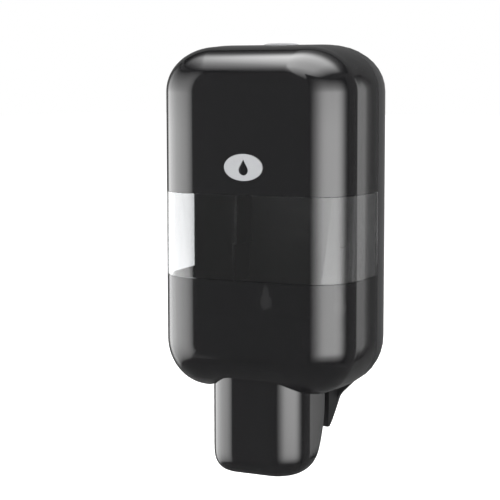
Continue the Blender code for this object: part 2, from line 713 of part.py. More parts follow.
def make_catch_plate():
    """Catch bar under the cover's top, with a flange bonded to it."""
    roof = TOP - COVER_WALL - DRAFT - GAP
    bar_y = BUTTON_Y - HOOK_REACH + HOOK_TOOTH[0] + GAP
    bar_bottom = TOP - STEM_BOTTOM + HOOK_THICKNESS + HOOK_TOOTH[1] + GAP
    half = CATCH_WIDTH / 2
    bar = block("catch_plate", (-half, half), (bar_y, bar_y + CATCH_THICKNESS), (bar_bottom, roof))
    flange = block("catch_flange", (-half, half),
                   (bar_y + CATCH_THICKNESS - CATCH_FLANGE, bar_y + CATCH_THICKNESS / 2),
                   (roof - CATCH_FLANGE_HEIGHT, roof))
    return finish(unite(bar, flange), "matte_black")


# ---- cover ----------------------------------------------------------------------------


def cover_shell(name):
    """The whole cover as one shell, open towards the housing."""
    outer = loft(name, shell_rings(SPLIT - GAP, FRONT, FRONT_ROUND, 0.0, DRAFT))
    inner = loft(name + "_inner", shell_rings(SPLIT + OVERSHOOT, FRONT + COVER_WALL, FRONT_ROUND,
                                              COVER_WALL, DRAFT))
    return subtract(outer, inner)


def make_cover_upper():
    """Black upper part of the cover, with the notch for the button and the emblem's seat."""
    upper = cover_shell("cover_upper")
    keep_inside(upper, half_space("upper_region", BAND_HIGH + GAP / 2, TOP + BODY_HEIGHT))
    notch = prism("cover_button_notch", button_outline(RUNNING_GAP), "Z",
                  TOP - BUTTON_SKIRT * 2, TOP + OVERSHOOT * 2)
    seat = prism("emblem_seat", oval(EMBLEM_SIZE, GAP), "Y", FRONT - OVERSHOOT,
                 FRONT + EMBLEM_THICKNESS - EMBLEM_PROUD + GAP)
    subtract(upper, notch, seat)
    return finish(upper, "gloss_black")


def make_cover_window():
    """Clear band round the front and both sides of the cover."""
    window = cover_shell("cover_window")
    keep_inside(window, half_space("band_region", BAND_LOW + GAP / 2, BAND_HIGH - GAP / 2))
    return finish(window, "clear")


def lever_outline(grow, rear_y):
    """Plan of the lever at the cover's opening, as (x, y) pairs."""
    half = LEVER_WIDTH / 2 + grow
    front = LEVER_FRONT - grow
    radius = LEVER_CORNER + grow
    points = []
    for side, start in ((-1, 180), (1, 270)):
        for i in range(CORNER_STEPS + 1):
            angle = math.radians(start + 90 * i / CORNER_STEPS)
            points.append((side * (half - radius) + radius * math.cos(angle),
                           front + radius + radius * math.sin(angle)))
    points.extend([(half, rear_y), (-half, rear_y)])
    return points


def make_cover_lower():
    """Dark lower part of the cover: lever opening, mount bosses and hinge lugs."""
    lower = cover_shell("cover_lower")
    keep_inside(lower, half_space("lower_region", BOTTOM - BODY_HEIGHT, BAND_LOW - GAP / 2))
    opening = prism("lever_opening", lever_outline(2 * RUNNING_GAP, SPLIT + OVERSHOOT), "Z",
                    BOTTOM - OVERSHOOT, LEVER_TOP - RUNNING_GAP)
    subtract(lower, opening)
    for name, side in (("left", -1), ("right", 1)):
        x = side * MOUNT_SCREW_X
        unite(lower, rod("mount_boss_" + name, "Y", (x, MOUNT_SCREW_Z), BOSS_RADIUS,
                         FRONT + COVER_WALL / 2, MOUNT_FRONT - GAP))
        subtract(lower, screw_hole("mount_boss_hole_" + name, x, MOUNT_SCREW_Z,
                                   FRONT + COVER_WALL / 2, MOUNT_FRONT + OVERSHOOT))
        low = eye_position(side, HINGE_LUG_X)
        unite(lower, hinge_eye("cover_lug_" + name, low, HINGE_Y - HINGE_ARM,
                               HINGE_Z - HINGE_EYE_RADIUS))
        subtract(lower, pin_bore("cover_lug_bore_" + name, low - OVERSHOOT,
                                 low + HINGE_EYE_WIDTH + OVERSHOOT))
    return finish(lower, "smoke")


def oval(size, grow):
    """Ellipse of the emblem on the cover's front, as (x, z) pairs."""
    centre_z = BOTTOM + EMBLEM_HEIGHT
    turn = 2 * math.pi / CIRCLE_SIDES
    return [((size[0] / 2 + grow) * math.cos(i * turn),
             centre_z + (size[1] / 2 + grow) * math.sin(i * turn)) for i in range(CIRCLE_SIDES)]


def drop_outline():
    """A drop: a round foot and a point at the top, as (x, z) pairs."""
    half, height = DROP_SIZE[0] / 2, DROP_SIZE[1]
    centre_z = BOTTOM + EMBLEM_HEIGHT - height / 2 + half
    points = [(0.0, centre_z - half + height)]
    for i in range(DROP_STEPS + 1):
        angle = math.radians(DROP_ARC[0] + (DROP_ARC[1] - DROP_ARC[0]) * i / DROP_STEPS)
        points.append((half * math.cos(angle), centre_z + half * math.sin(angle)))
    return points


def make_emblem():
    """Plain oval badge with a drop cut through it."""
    low = FRONT - EMBLEM_PROUD
    badge = prism("cover_emblem", oval(EMBLEM_SIZE, 0.0), "Y", low, low + EMBLEM_THICKNESS)
    drop = prism("emblem_drop", drop_outline(), "Y", low - OVERSHOOT,
                 low + EMBLEM_THICKNESS + OVERSHOOT)
    return finish(subtract(badge, drop), "light_grey")


# ---- lever and its mount --------------------------------------------------------------


def lever_rear(z):
    """Depth of the lever's rear edge: upright above, an ellipse down to the toe."""
    drop = max(LEVER_SWEEP_START - z, 0.0)
    reach = LEVER_SWEEP_START - LEVER_BOTTOM + LEVER_SWEEP_EXTRA
    return LEVER_SWEEP_Y + (LEVER_REAR - LEVER_SWEEP_Y) * math.sqrt(max(1 - (drop / reach) ** 2, 0))


def lever_ring(z, inward, rear_y, wall):
    """Plan of the lever at one height; inward is 0 above the toe and 1 at its bottom."""
    half = LEVER_WIDTH / 2 - LEVER_TOE["side"] * inward - wall
    front = LEVER_FRONT + LEVER_TOE["front"] * inward + wall
    radius = max(LEVER_CORNER - LEVER_TOE["side"] * inward - wall, SMALLEST_CORNER)
    points = []
    for side, start in ((-1, 180), (1, 270)):
        for i in range(CORNER_STEPS + 1):
            angle = math.radians(start + 90 * i / CORNER_STEPS)
            points.append(Vector((side * (half - radius) + radius * math.cos(angle),
                                  front + radius + radius * math.sin(angle), z)))
    points.extend([Vector((half, rear_y, z)), Vector((-half, rear_y, z))])
    return points


def lever_rings(wall, open_rear):
    """Rings of the lever from its top to its toe."""
    toe_start = LEVER_BOTTOM + LEVER_TOE["height"]
    levels = [(LEVER_TOP + (OVERSHOOT if wall else 0.0), 0.0)]
    for i in range(SWEEP_STEPS + 1):
        levels.append((LEVER_SWEEP_START + (toe_start - LEVER_SWEEP_START) * i / SWEEP_STEPS, 0.0))
    for i in range(1, ROUND_STEPS + 1):
        angle = math.radians(90 * i / ROUND_STEPS)
        z = toe_start - (LEVER_TOE["height"] - wall) * math.sin(angle)
        levels.append((z, 1 - math.cos(angle)))
    rings = []
    for z, inward in levels:
        rear = SPLIT if open_rear else lever_rear(z) - LEVER_TOE["rear"] * inward
        rings.append(lever_ring(z, inward, rear, wall))
    return rings


def make_lever():
    """Push lever: a scoop open at the rear, with two ears round the axle."""
    lever = loft("push_lever", lever_rings(0.0, False))
    subtract(lever, loft("lever_inner", lever_rings(LEVER_WALL, True)))
    for name, side in (("left", -1), ("right", 1)):
        outer = side * LEVER_WIDTH / 2
        x_range = sorted((outer, outer - side * LEVER_WALL))
        ear = rod("lever_ear_" + name, "X", (LEVER_PIVOT_Y, LEVER_PIVOT_Z), LEVER_EAR_RADIUS, *x_range)
        neck = prism("lever_neck_" + name, (
            (LEVER_PIVOT_Y - LEVER_EAR_RADIUS, LEVER_PIVOT_Z),
            (LEVER_PIVOT_Y + LEVER_EAR_RADIUS, LEVER_PIVOT_Z),
            (LEVER_REAR, LEVER_TOP - OVERSHOOT),
            (LEVER_FRONT + LEVER_CORNER, LEVER_TOP - OVERSHOOT)), "X", *x_range)
        unite(lever, ear, neck)
    subtract(lever, rod("lever_bore", "X", (LEVER_PIVOT_Y, LEVER_PIVOT_Z), AXLE_RADIUS + GAP,
                        -LEVER_WIDTH, LEVER_WIDTH))
    return finish(lever, "gloss_black")


def make_lifter_fork():
    """Two-armed fork clipped behind the lever's front wall; it lifts the refill's pump."""
    plate_y = LEVER_FRONT + LEVER_WALL + GAP
    half = FORK_SLOT / 2 + FORK_ARM[0]
    fork = block("lifter_fork", (-half, half), (plate_y, plate_y + FORK_PLATE_THICKNESS),
                 (FORK_Z - FORK_PLATE_HEIGHT / 2, FORK_Z + FORK_PLATE_HEIGHT / 2))
    for name, side in (("left", -1), ("right", 1)):
        x_range = sorted((side * FORK_SLOT / 2, side * half))
        unite(fork, block("fork_arm_" + name, x_range,
                          (plate_y + FORK_PLATE_THICKNESS / 2, FORK_TIP_Y),
                          (FORK_Z - FORK_ARM[1] / 2, FORK_Z + FORK_ARM[1] / 2)))
    return finish(fork, "matte_black")


def make_lever_mount():
    """Mount screwed behind the cover's front: a plate and two cheeks that hold the axle."""
    mount = block("lever_mount", (-MOUNT_HALF, MOUNT_HALF), (MOUNT_FRONT, MOUNT_REAR),
                  (MOUNT_CHEEK_BOTTOM, MOUNT_TOP))
    tongue_half = STOP_X + STOP_RADIUS
    unite(mount, block("mount_tongue", (-tongue_half, tongue_half), (MOUNT_FRONT, MOUNT_REAR),
                       (MOUNT_BOTTOM, MOUNT_CHEEK_BOTTOM + OVERSHOOT)))
    for name, side in (("left", -1), ("right", 1)):
        inner = side * (MOUNT_HALF - MOUNT_CHEEK)
        x_range = sorted((inner, side * MOUNT_HALF))
        unite(mount, block("mount_cheek_" + name, x_range,
                           (MOUNT_FRONT + MOUNT_PLATE / 2, LEVER_PIVOT_Y + MOUNT_CHEEK_REACH),
                           (MOUNT_CHEEK_BOTTOM, MOUNT_TOP)))
        x = side * MOUNT_SCREW_X
        subtract(mount, screw_hole("mount_hole_" + name, x, MOUNT_SCREW_Z,
                                   MOUNT_FRONT - OVERSHOOT, MOUNT_REAR + OVERSHOOT))
        screw("mount_screw_" + name, x, MOUNT_SCREW_Z, MOUNT_REAR, -1)
        stop = rod("lever_stop_" + name, "Y", (side * STOP_X, STOP_Z), STOP_RADIUS,
                   MOUNT_REAR + GAP, lever_face_at(STOP_X) - GAP)
        finish(stop, "rubber")
    subtract(mount, rod("mount_bore", "X", (LEVER_PIVOT_Y, LEVER_PIVOT_Z), AXLE_RADIUS + GAP,
                        -LEVER_WIDTH, LEVER_WIDTH))
    return finish(mount, "matte_black")


def lever_face_at(x):
    """Depth of the lever's front at the inner edge of a stop centred at x."""
    over = max(x - STOP_RADIUS - (LEVER_WIDTH / 2 - LEVER_CORNER), 0.0)
    return LEVER_FRONT + LEVER_CORNER - math.sqrt(LEVER_CORNER ** 2 - over ** 2)


def make_axle():
    """Steel axle of the lever, held in the mount's cheeks."""
    axle = rod("lever_axle", "X", (LEVER_PIVOT_Y, LEVER_PIVOT_Z), AXLE_RADIUS,
               -MOUNT_HALF - GAP, MOUNT_HALF + GAP)
    return finish(axle, "steel")


def make_lever_springs():
    """Torsion spring on each side: one leg on the mount, the other on the fork's side."""
    for name, side in (("left", -1), ("right", 1)):
        points = []
        turns = LEVER_SPRING_TURNS + LEVER_SPRING_LAST_TURN
        count = math.ceil(turns * COIL_STEPS)
        for i in range(count + 1):
            angle = math.pi + 2 * math.pi * turns * i / count
            points.append(Vector((
                side * (LEVER_SPRING_X + LEVER_SPRING_PITCH * turns * i / count),
                LEVER_PIVOT_Y + LEVER_SPRING_RADIUS * math.cos(angle),
                LEVER_PIVOT_Z + LEVER_SPRING_RADIUS * math.sin(angle))))
        first = points[0] + Vector((0, 0, LEVER_SPRING_LEG))
        last = points[-1] - Vector((0, *LEVER_SPRING_LAST_LEG))
        spring = wire_coil("lever_spring_" + name, [first] + points + [last], LEVER_SPRING_WIRE)
        finish(spring, "steel")


def main():
    clear_scene()
    make_housing()
    make_hinge_pins()
    make_bottle_guides()
    make_cradle()
    make_lock_bracket()
    make_button()
    make_latch_slider()
    make_lock_spring()
    make_catch_plate()
    make_cover_upper()
    make_cover_window()
    make_cover_lower()
    make_emblem()
    make_lever()
    make_lifter_fork()
    make_lever_mount()
    make_axle()
    make_lever_springs()


main()
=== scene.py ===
"""Looks of a wall mounted soap dispenser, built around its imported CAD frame."""
import math

import bmesh
import bpy
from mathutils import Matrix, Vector


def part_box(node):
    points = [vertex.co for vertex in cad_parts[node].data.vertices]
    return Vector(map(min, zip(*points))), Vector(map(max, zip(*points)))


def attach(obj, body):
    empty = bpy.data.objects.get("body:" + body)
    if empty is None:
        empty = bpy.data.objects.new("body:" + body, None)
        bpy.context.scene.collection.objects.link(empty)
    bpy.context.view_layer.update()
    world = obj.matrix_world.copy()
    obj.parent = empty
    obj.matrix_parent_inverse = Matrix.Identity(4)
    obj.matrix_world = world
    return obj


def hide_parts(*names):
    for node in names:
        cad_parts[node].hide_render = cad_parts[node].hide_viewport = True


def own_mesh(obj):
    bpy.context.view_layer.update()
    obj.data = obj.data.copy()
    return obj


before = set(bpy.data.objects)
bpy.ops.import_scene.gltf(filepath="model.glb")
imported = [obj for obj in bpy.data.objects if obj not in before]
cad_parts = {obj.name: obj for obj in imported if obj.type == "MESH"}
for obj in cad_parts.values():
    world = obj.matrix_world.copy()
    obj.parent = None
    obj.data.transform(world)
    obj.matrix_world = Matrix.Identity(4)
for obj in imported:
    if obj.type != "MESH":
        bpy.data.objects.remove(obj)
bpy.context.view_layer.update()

bl_info = {
    "name": "Wall Mounted Soap Dispenser",
    "version": (1, 0, 0),
    "blender": (4, 5, 0),
    "location": "View3D > Sidebar > Dispenser",
    "description": "Builds the finished pieces of a push-lever soap dispenser around its frame",
    "category": "Add Mesh",
}

MM = 0.001

# ---- sizes shared with the solid model -------------------------------------------------

BODY_WIDTH = 112 * MM
TOP = 93 * MM
BOTTOM = -93 * MM
FRONT = -80 * MM
SPLIT = -30 * MM
GAP = 0.3 * MM
RUNNING_GAP = 0.6 * MM
COVER_WALL = 2.4 * MM
DRAFT = 1.2 * MM
TOP_CORNER = (30 * MM, 25 * MM)
BOTTOM_CORNER = (26 * MM, 27.5 * MM)
SMALLEST_CORNER = 3 * MM
CORNER_KEEP = (0.86, 0.95)
FRONT_ROUND = {"side": 25.7 * MM, "top": 15.5 * MM, "bottom": 23.5 * MM, "depth": 24 * MM}
BAND_LOW = -30.5 * MM
BAND_HIGH = 14.5 * MM
SEAM = 0.05 * MM

EMBLEM_SIZE = (22 * MM, 14 * MM)
EMBLEM_Z = 29 * MM
EMBLEM_THICKNESS = 0.9 * MM
EMBLEM_PROUD = 0.3 * MM
DROP_SIZE = (5.4 * MM, 8.4 * MM)
DROP_ARC = (155, 230)

BUTTON_SIZE = (20 * MM, 9 * MM)
BUTTON_Y = -31.5 * MM
BUTTON_PROUD = 1.1 * MM
BUTTON_SKIRT = 5 * MM
DOME_START = 0.2 * MM
DOME_STEPS = 16
DOME_STEP_ANGLE = 5

HINGE = (-27 * MM, -86.5 * MM)
HINGE_PIN_RADIUS = 1.5 * MM
HINGE_EYE_RADIUS = 2.9 * MM
HINGE_EYE_WIDTH = 3.5 * MM
HINGE_LUG_X = 33 * MM
HINGE_ARM = 12 * MM

LEVER_HALF = 28.8 * MM
LEVER_EAR_X = 28 * MM
LEVER_OPENING = 29.5 * MM
LEVER_FRONT = -73 * MM
LEVER_REAR = -38 * MM
LEVER_TOP = -72 * MM
LEVER_BOTTOM = -136.5 * MM
LEVER_WALL = 2.4 * MM
LEVER_CORNER = 18.2 * MM
LEVER_PIVOT = (-58 * MM, -62 * MM)
LEVER_EAR_RADIUS = 4.6 * MM
LEVER_SWEEP_START = -99.5 * MM
LEVER_SWEEP_Y = -67 * MM
LEVER_SWEEP_EXTRA = 2.5 * MM
LEVER_TOE = {"side": 12 * MM, "front": 8 * MM, "rear": 3 * MM, "height": 13 * MM}
LEVER_TOE_POWER = 2 / 2.8
LEVER_FLARE = math.radians(3)
AXLE_RADIUS = 1.5 * MM

MOUNT_SCREW_X = 20 * MM
MOUNT_SCREW_Z = -56 * MM
MOUNT_FRONT = -75.5 * MM
BOSS_RADIUS = 3.6 * MM

CRADLE_SCREWS = (16 * MM, -70.2 * MM)
CRADLE_SEAT_Y = -7.9 * MM
BRACKET_SCREWS = (12 * MM, 70.5 * MM)
BRACKET_SEAT_Y = -7.8 * MM
SCREW = {"head": 2.6 * MM, "height": 1.7 * MM, "shank": 1.2 * MM, "length": 5.0 * MM}
THREAD_PITCH = 0.83 * MM

# Springs: radius, wire and turns of the coil; the return springs also have their first
# coil's X, the pitch of their coils, and two legs
LATCH_SPRING = {"radius": 1.9 * MM, "wire": 0.35 * MM, "turns": 4}
RETURN_SPRING = {"radius": 2.6 * MM, "wire": 0.45 * MM, "turns": 4.22, "x": 14 * MM,
                 "pitch": 1.6 * MM, "leg": (0, 0, 10 * MM), "last_leg": (0, -7.5 * MM, -2 * MM)}

# Roundings of the small mouldings' edges
INNER_EDGE = 0.25 * MM
SOFT_EDGE = 0.3 * MM
CATCH_EDGE = 0.2 * MM
BADGE_EDGE = 0.12 * MM
RUBBER_EDGE = 0.05 * MM

# Camera: where it looks, from where, and how long its lens is
VIEW_CENTRE = Vector((0.0, -0.040, 0.0))
VIEW_AZIMUTH = 24.18
VIEW_ELEVATION = 5.44
VIEW_DISTANCE = 0.775
LENS = 102.45
SHIFT = (-0.0498, -0.0668)

CORNER_STEPS = 22
ROUND_STEPS = 22
SIDE_STEPS = 6
SWEEP_STEPS = 14
DROP_STEPS = 32
HELIX_STEPS = 160
CIRCLE_SIDES = 64
CUT_PAST = 1 * MM
SAME_POINT = 0.002 * MM
SAME_PLANE = math.radians(0.6)


# ---- settings --------------------------------------------------------------------------


class DispenserSettings(bpy.types.PropertyGroup):
    """Colours and small sizes that a user may change."""
    cover_hex: bpy.props.StringProperty(
        name="Cover", description="Colour of the black cover and the lever", default="#161617")
    housing_hex: bpy.props.StringProperty(
        name="Housing", description="Colour of the matt back housing", default="#2f2f30")
    inner_hex: bpy.props.StringProperty(
        name="Inside", description="Colour of the inner mouldings", default="#1d1d1e")
    badge_hex: bpy.props.StringProperty(
        name="Light plastic", description="Colour of the button and the badge",
        default="#a6a7a9")
    edge_radius: bpy.props.FloatProperty(
        name="Edge radius", description="Rounding of the mouldings' edges", default=0.25 * MM,
        min=0.05 * MM, max=1 * MM, unit='LENGTH')
    grain_size: bpy.props.FloatProperty(
        name="Grain", description="Size of the moulded grain on matt plastic",
        default=0.45 * MM, min=0.1 * MM, max=3 * MM, unit='LENGTH')
    floor_drop: bpy.props.FloatProperty(
        name="Floor", description="Distance of the floor below the dispenser's middle",
        default=0.45, min=0.14, max=3, unit='LENGTH')


def settings():
    return bpy.context.scene.dispenser


# ---- materials -------------------------------------------------------------------------

MATERIALS = {}


def linear(hex_colour):
    """An sRGB hex colour as a linear RGBA tuple."""
    channels = [int(hex_colour[i:i + 2], 16) / 255 for i in (1, 3, 5)]
    return (*[c / 12.92 if c <= 0.04045 else ((c + 0.055) / 1.055) ** 2.4 for c in channels], 1.0)


def add_node(tree, kind, values=None, links=None, **attributes):
    """Add a node with its attributes, socket values and incoming links."""
    node = tree.nodes.new(kind)
    for key, value in attributes.items():
        setattr(node, key, value)
    for key, value in (values or {}).items():
        node.inputs[key].default_value = value
    for key, socket in (links or {}).items():
        tree.links.new(socket, node.inputs[key])
    return node


def new_material(name):
    """An empty node material with its output."""
    material = bpy.data.materials.new(name)
    material.use_nodes = True
    tree = material.node_tree
    tree.nodes.clear()
    output = add_node(tree, "ShaderNodeOutputMaterial")
    return material, tree, output


def grain(tree, size, detail, strength, distance):
    """Bump from noise of one grain size, in object coordinates; returns noise and bump."""
    place = add_node(tree, "ShaderNodeTexCoord")
    noise = add_node(tree, "ShaderNodeTexNoise",
                     {"Scale": 1 / size, "Detail": detail, "Roughness": 0.55},
                     {"Vector": place.outputs["Object"]})
    bump = add_node(tree, "ShaderNodeBump", {"Strength": strength, "Distance": distance},
                    {"Height": noise.outputs["Fac"]})
    return noise, bump


def spread(tree, source, low, high):
    """Map a 0-1 value to a range."""
    return add_node(tree, "ShaderNodeMapRange", {"To Min": low, "To Max": high},
                    {"Value": source}).outputs["Result"]


def polished_abs(name, hex_colour, alpha=1.0):
    """High-gloss ABS under a clear layer, injection moulded in a polished tool.

    Deep black with sharp reflections; very slow waves of the flow front bend them a little,
    and wiping has left the gloss uneven.
    """
    material, tree, output = new_material(name)
    waves, bump = grain(tree, 26 * MM, 1.0, 0.05, 0.4 * MM)
    place = add_node(tree, "ShaderNodeTexCoord")
    wiping = add_node(tree, "ShaderNodeTexNoise", {"Scale": 1 / (9 * MM), "Detail": 5.0},
                      {"Vector": place.outputs["Object"]})
    shader = add_node(tree, "ShaderNodeBsdfPrincipled", {
        "Base Color": linear(hex_colour), "IOR": 1.5, "Alpha": alpha,
        "Coat Weight": 1.0, "Coat Roughness": 0.03, "Coat IOR": 1.5,
    }, {
        "Roughness": spread(tree, wiping.outputs["Fac"], 0.07, 0.13),
        "Normal": bump.outputs["Normal"],
        "Coat Normal": bump.outputs["Normal"],
    })
    tree.links.new(shader.outputs["BSDF"], output.inputs["Surface"])
    return material


def clear_san(name):
    """Clear SAN, injection moulded and polished: see-through with a faint grey tint.

    Lamps shine through it, so that the pieces behind it are lit.
    """
    material, tree, output = new_material(name)
    shader = add_node(tree, "ShaderNodeBsdfPrincipled", {
        "Base Color": linear("#f1f2f3"), "Roughness": 0.02, "IOR": 1.57,
        "Transmission Weight": 1.0, "Coat Weight": 1.0, "Coat IOR": 1.5,
    })
    passing = add_node(tree, "ShaderNodeBsdfTransparent", {"Color": linear("#8c8d8f")})
    path = add_node(tree, "ShaderNodeLightPath")
    mix = add_node(tree, "ShaderNodeMixShader", links={
        0: path.outputs["Is Shadow Ray"], 1: shader.outputs["BSDF"], 2: passing.outputs["BSDF"]})
    tree.links.new(mix.outputs["Shader"], output.inputs["Surface"])
    return material


def grained_plastic(name, hex_colour, size, rough, depth):
    """Plastic moulded in a spark-eroded tool: matt, with a fine even grain."""
    material, tree, output = new_material(name)
    noise, bump = grain(tree, size, 3.0, 0.35, depth)
    base = linear(hex_colour)
    tone = add_node(tree, "ShaderNodeMix", data_type='RGBA')
    for index, share in ((6, 0.92), (7, 1.08)):
        tone.inputs[index].default_value = (*[c * share for c in base[:3]], 1.0)
    tree.links.new(noise.outputs["Fac"], tone.inputs[0])
    shader = add_node(tree, "ShaderNodeBsdfPrincipled", {"IOR": 1.5}, {
        "Base Color": tone.outputs[2],
        "Roughness": spread(tree, noise.outputs["Fac"], rough - 0.06, rough + 0.06),
        "Normal": bump.outputs["Normal"],
    })
    tree.links.new(shader.outputs["BSDF"], output.inputs["Surface"])
    return material


def zinc_steel(name):
    """Zinc-plated steel: turned bars and drawn wire, bright with fine scratches."""
    material, tree, output = new_material(name)
    noise, bump = grain(tree, 0.6 * MM, 2.0, 0.2, 0.02 * MM)
    shader = add_node(tree, "ShaderNodeBsdfPrincipled", {
        "Base Color": linear("#b9bcc2"), "Metallic": 1.0,
    }, {
        "Roughness": spread(tree, noise.outputs["Fac"], 0.22, 0.38),
        "Normal": bump.outputs["Normal"],
    })
    tree.links.new(shader.outputs["BSDF"], output.inputs["Surface"])
    return material


def make_materials():
    chosen = settings()
    size = chosen.grain_size
    return {
        "cover": polished_abs("polished_black_abs", chosen.cover_hex),
        "smoke": polished_abs("smoked_black_abs", chosen.cover_hex, 0.9),
        "band": clear_san("clear_san"),
        "housing": grained_plastic("grained_grey_abs", chosen.housing_hex, size, 0.5, 0.05 * MM),
        "inner": grained_plastic("grained_black_pom", chosen.inner_hex, size, 0.42, 0.04 * MM),
        "light": grained_plastic("satin_grey_abs", chosen.badge_hex, size, 0.36, 0.01 * MM),
        "steel": zinc_steel("zinc_plated_steel"),
        "rubber": grained_plastic("black_rubber", "#1c1c1c", size, 0.85, 0.06 * MM),
    }


def material(key):
    """The named material, made once."""
    if not MATERIALS:
        MATERIALS.update(make_materials())
    return MATERIALS[key]


# ---- mesh helpers ----------------------------------------------------------------------


def link_mesh(name, mesh):
    obj = bpy.data.objects.new(name, mesh)
    bpy.context.scene.collection.objects.link(obj)
    return obj


def loft(name, rings, inner=None):
    """A closed solid through rings; with inner rings it is a shell, open at the first ring."""
    grid = bmesh.new()
    lofts = []
    for group in (rings, inner or []):
        loops = [[grid.verts.new(point) for point in ring] for ring in group]
        for lower, upper in zip(loops, loops[1:]):
            bridge(grid, lower, upper)
        if loops:
            grid.faces.new(loops[-1])
            lofts.append(loops)
    if inner:
        bridge(grid, lofts[0][0], lofts[1][0])
    else:
        grid.faces.new(lofts[0][0])
    bmesh.ops.recalc_face_normals(grid, faces=grid.faces)
    mesh = bpy.data.meshes.new(name)
    grid.to_mesh(mesh)
    grid.free()
    return link_mesh(name, mesh)


def bridge(grid, lower, upper):
    for i, vert in enumerate(lower):
        j = (i + 1) % len(lower)
        grid.faces.new((vert, lower[j], upper[j], upper[i]))


def prism(name, outline, axis, low, high):
    """Extrude a flat outline along X, Y or Z."""
    place = {
        "X": lambda a, b, c: Vector((c, a, b)),
        "Y": lambda a, b, c: Vector((a, c, b)),
        "Z": lambda a, b, c: Vector((a, b, c)),
    }[axis]
    return loft(name, [[place(a, b, c) for a, b in outline] for c in (low, high)])


def block(name, x, y, z):
    return prism(name, ((x[0], y[0]), (x[1], y[0]), (x[1], y[1]), (x[0], y[1])), "Z", *z)


def oval(half_a, half_b, centre):
    turn = 2 * math.pi / CIRCLE_SIDES
    return [(centre[0] + half_a * math.cos(i * turn), centre[1] + half_b * math.sin(i * turn))
            for i in range(CIRCLE_SIDES)]


def arc(centre, radii, start, span=90, steps=CORNER_STEPS):
    """Points along a round or elliptical arc, both its ends included."""
    angles = [math.radians(start + span * i / steps) for i in range(steps + 1)]
    return [(centre[0] + radii[0] * math.cos(angle), centre[1] + radii[1] * math.sin(angle))
            for angle in angles]


def rod(name, axis, centre, radius, low, high):
    return prism(name, oval(radius, radius, centre), axis, low, high)


def carve(target, *steps):
    """Apply Boolean steps, each an operation and its tools, and drop the tools."""
    tools = []
    for operation, *cutters in steps:
        for cutter in cutters:
            modifier = target.modifiers.new(cutter.name, 'BOOLEAN')
            modifier.operation = operation
            modifier.solver = 'EXACT'
            modifier.object = cutter
            tools.append(cutter)
    bake(target)
    for tool in tools:
        bpy.data.objects.remove(tool, do_unlink=True)


def finished_mesh(obj):
    """A mesh of an object with its modifiers applied."""
    bpy.context.view_layer.update()
    evaluated = obj.evaluated_get(bpy.context.evaluated_depsgraph_get())
    return bpy.data.meshes.new_from_object(evaluated)


def bake(obj):
    """Turn an object's modifiers into its mesh."""
    mesh = finished_mesh(obj)
    obj.modifiers.clear()
    obj.data = mesh


def ease_edges(obj, width, sharpest=40):
    """Round the sharp edges, as a mould does, and shade the rest smooth."""
    modifier = obj.modifiers.new("edges", 'BEVEL')
    modifier.width = width
    modifier.segments = 2
    modifier.limit_method = 'ANGLE'
    modifier.angle_limit = math.radians(sharpest)
    modifier.use_clamp_overlap = True
    modifier.miter_outer = 'MITER_ARC'
    bake(obj)
    shade(obj, sharpest)


def shade(obj, sharpest):
    """Smooth shading that keeps flat faces flat and creases sharp."""
    obj.data.shade_smooth()
    obj.data.set_sharp_from_angle(angle=math.radians(sharpest))
    modifier = obj.modifiers.new("normals", 'WEIGHTED_NORMAL')
    modifier.keep_sharp = True
    modifier.weight = 80
    bake(obj)


def tidy_mesh(obj):
    """Merge a copied solid's loose triangles and join those that lie in one plane."""
    grid = bmesh.new()
    grid.from_mesh(obj.data)
    bmesh.ops.remove_doubles(grid, verts=grid.verts, dist=SAME_POINT)
    bmesh.ops.dissolve_limit(grid, angle_limit=SAME_PLANE, verts=grid.verts, edges=grid.edges)
    bmesh.ops.recalc_face_normals(grid, faces=grid.faces)
    grid.to_mesh(obj.data)
    grid.free()


def place_piece(obj, body, material_key, slot, *nodes):
    """Give a finished piece its material and body, in place of its CAD nodes."""
    obj.data.materials.clear()
    obj.data.materials.append(material(material_key))
    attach(obj, body)
    if nodes:
        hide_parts(*nodes)
    return obj


def moulded_copy(node, name, body, material_key, slot, width):
    """A plain moulding: the solid's own shape with its edges rounded."""
    obj = link_mesh(name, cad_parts[node].data.copy())
    tidy_mesh(obj)
    ease_edges(obj, width, 32)
    place_piece(obj, body, material_key, slot, node)


# ---- the body's form -------------------------------------------------------------------


def rounded_outline(half_width, low, high, top_corner, bottom_corner):
    """Rectangle with elliptical corners, as (x, z) pairs."""
    corners = (
        (1, high - top_corner[1], top_corner, 0),
        (-1, high - top_corner[1], top_corner, 90),
        (-1, low + bottom_corner[1], bottom_corner, 180),
        (1, low + bottom_corner[1], bottom_corner, 270),
    )
    points = []
    for side, centre_z, radii, start in corners:
        points += arc((side * (half_width - radii[0]), centre_z), radii, start)
    return points


def body_ring(y, side, top, bottom):
    """The body's outline at one depth, moved inwards at the sides, top and bottom."""
    top_corner = tuple(r - d * keep for r, d, keep in zip(TOP_CORNER, (side, top), CORNER_KEEP))
    bottom_corner = tuple(max(r - d, SMALLEST_CORNER)
                          for r, d in zip(BOTTOM_CORNER, (side, bottom)))
    outline = rounded_outline(BODY_WIDTH / 2 - side, BOTTOM + bottom, TOP - top,
                              top_corner, bottom_corner)
    return [Vector((x, y, z)) for x, z in outline]


def cover_rings(wall):
    """Rings of the cover from its rim to its front, moved inwards by the wall."""
    rim = SPLIT - GAP
    depth = FRONT_ROUND["depth"] - wall
    start = FRONT + wall + depth
    rings = []
    for i in range(SIDE_STEPS):
        share = i / SIDE_STEPS
        lean = DRAFT * share ** 2 + wall
        rings.append(body_ring(rim + (start - rim) * share, lean, lean, lean))
    for i in range(ROUND_STEPS + 1):
        angle = math.radians(90 * i / ROUND_STEPS)
        inward = 1 - math.cos(angle)
        rings.append(body_ring(
            start - depth * math.sin(angle),
            *[DRAFT + wall + (FRONT_ROUND[key] - wall) * inward
              for key in ("side", "top", "bottom")]))
    return rings


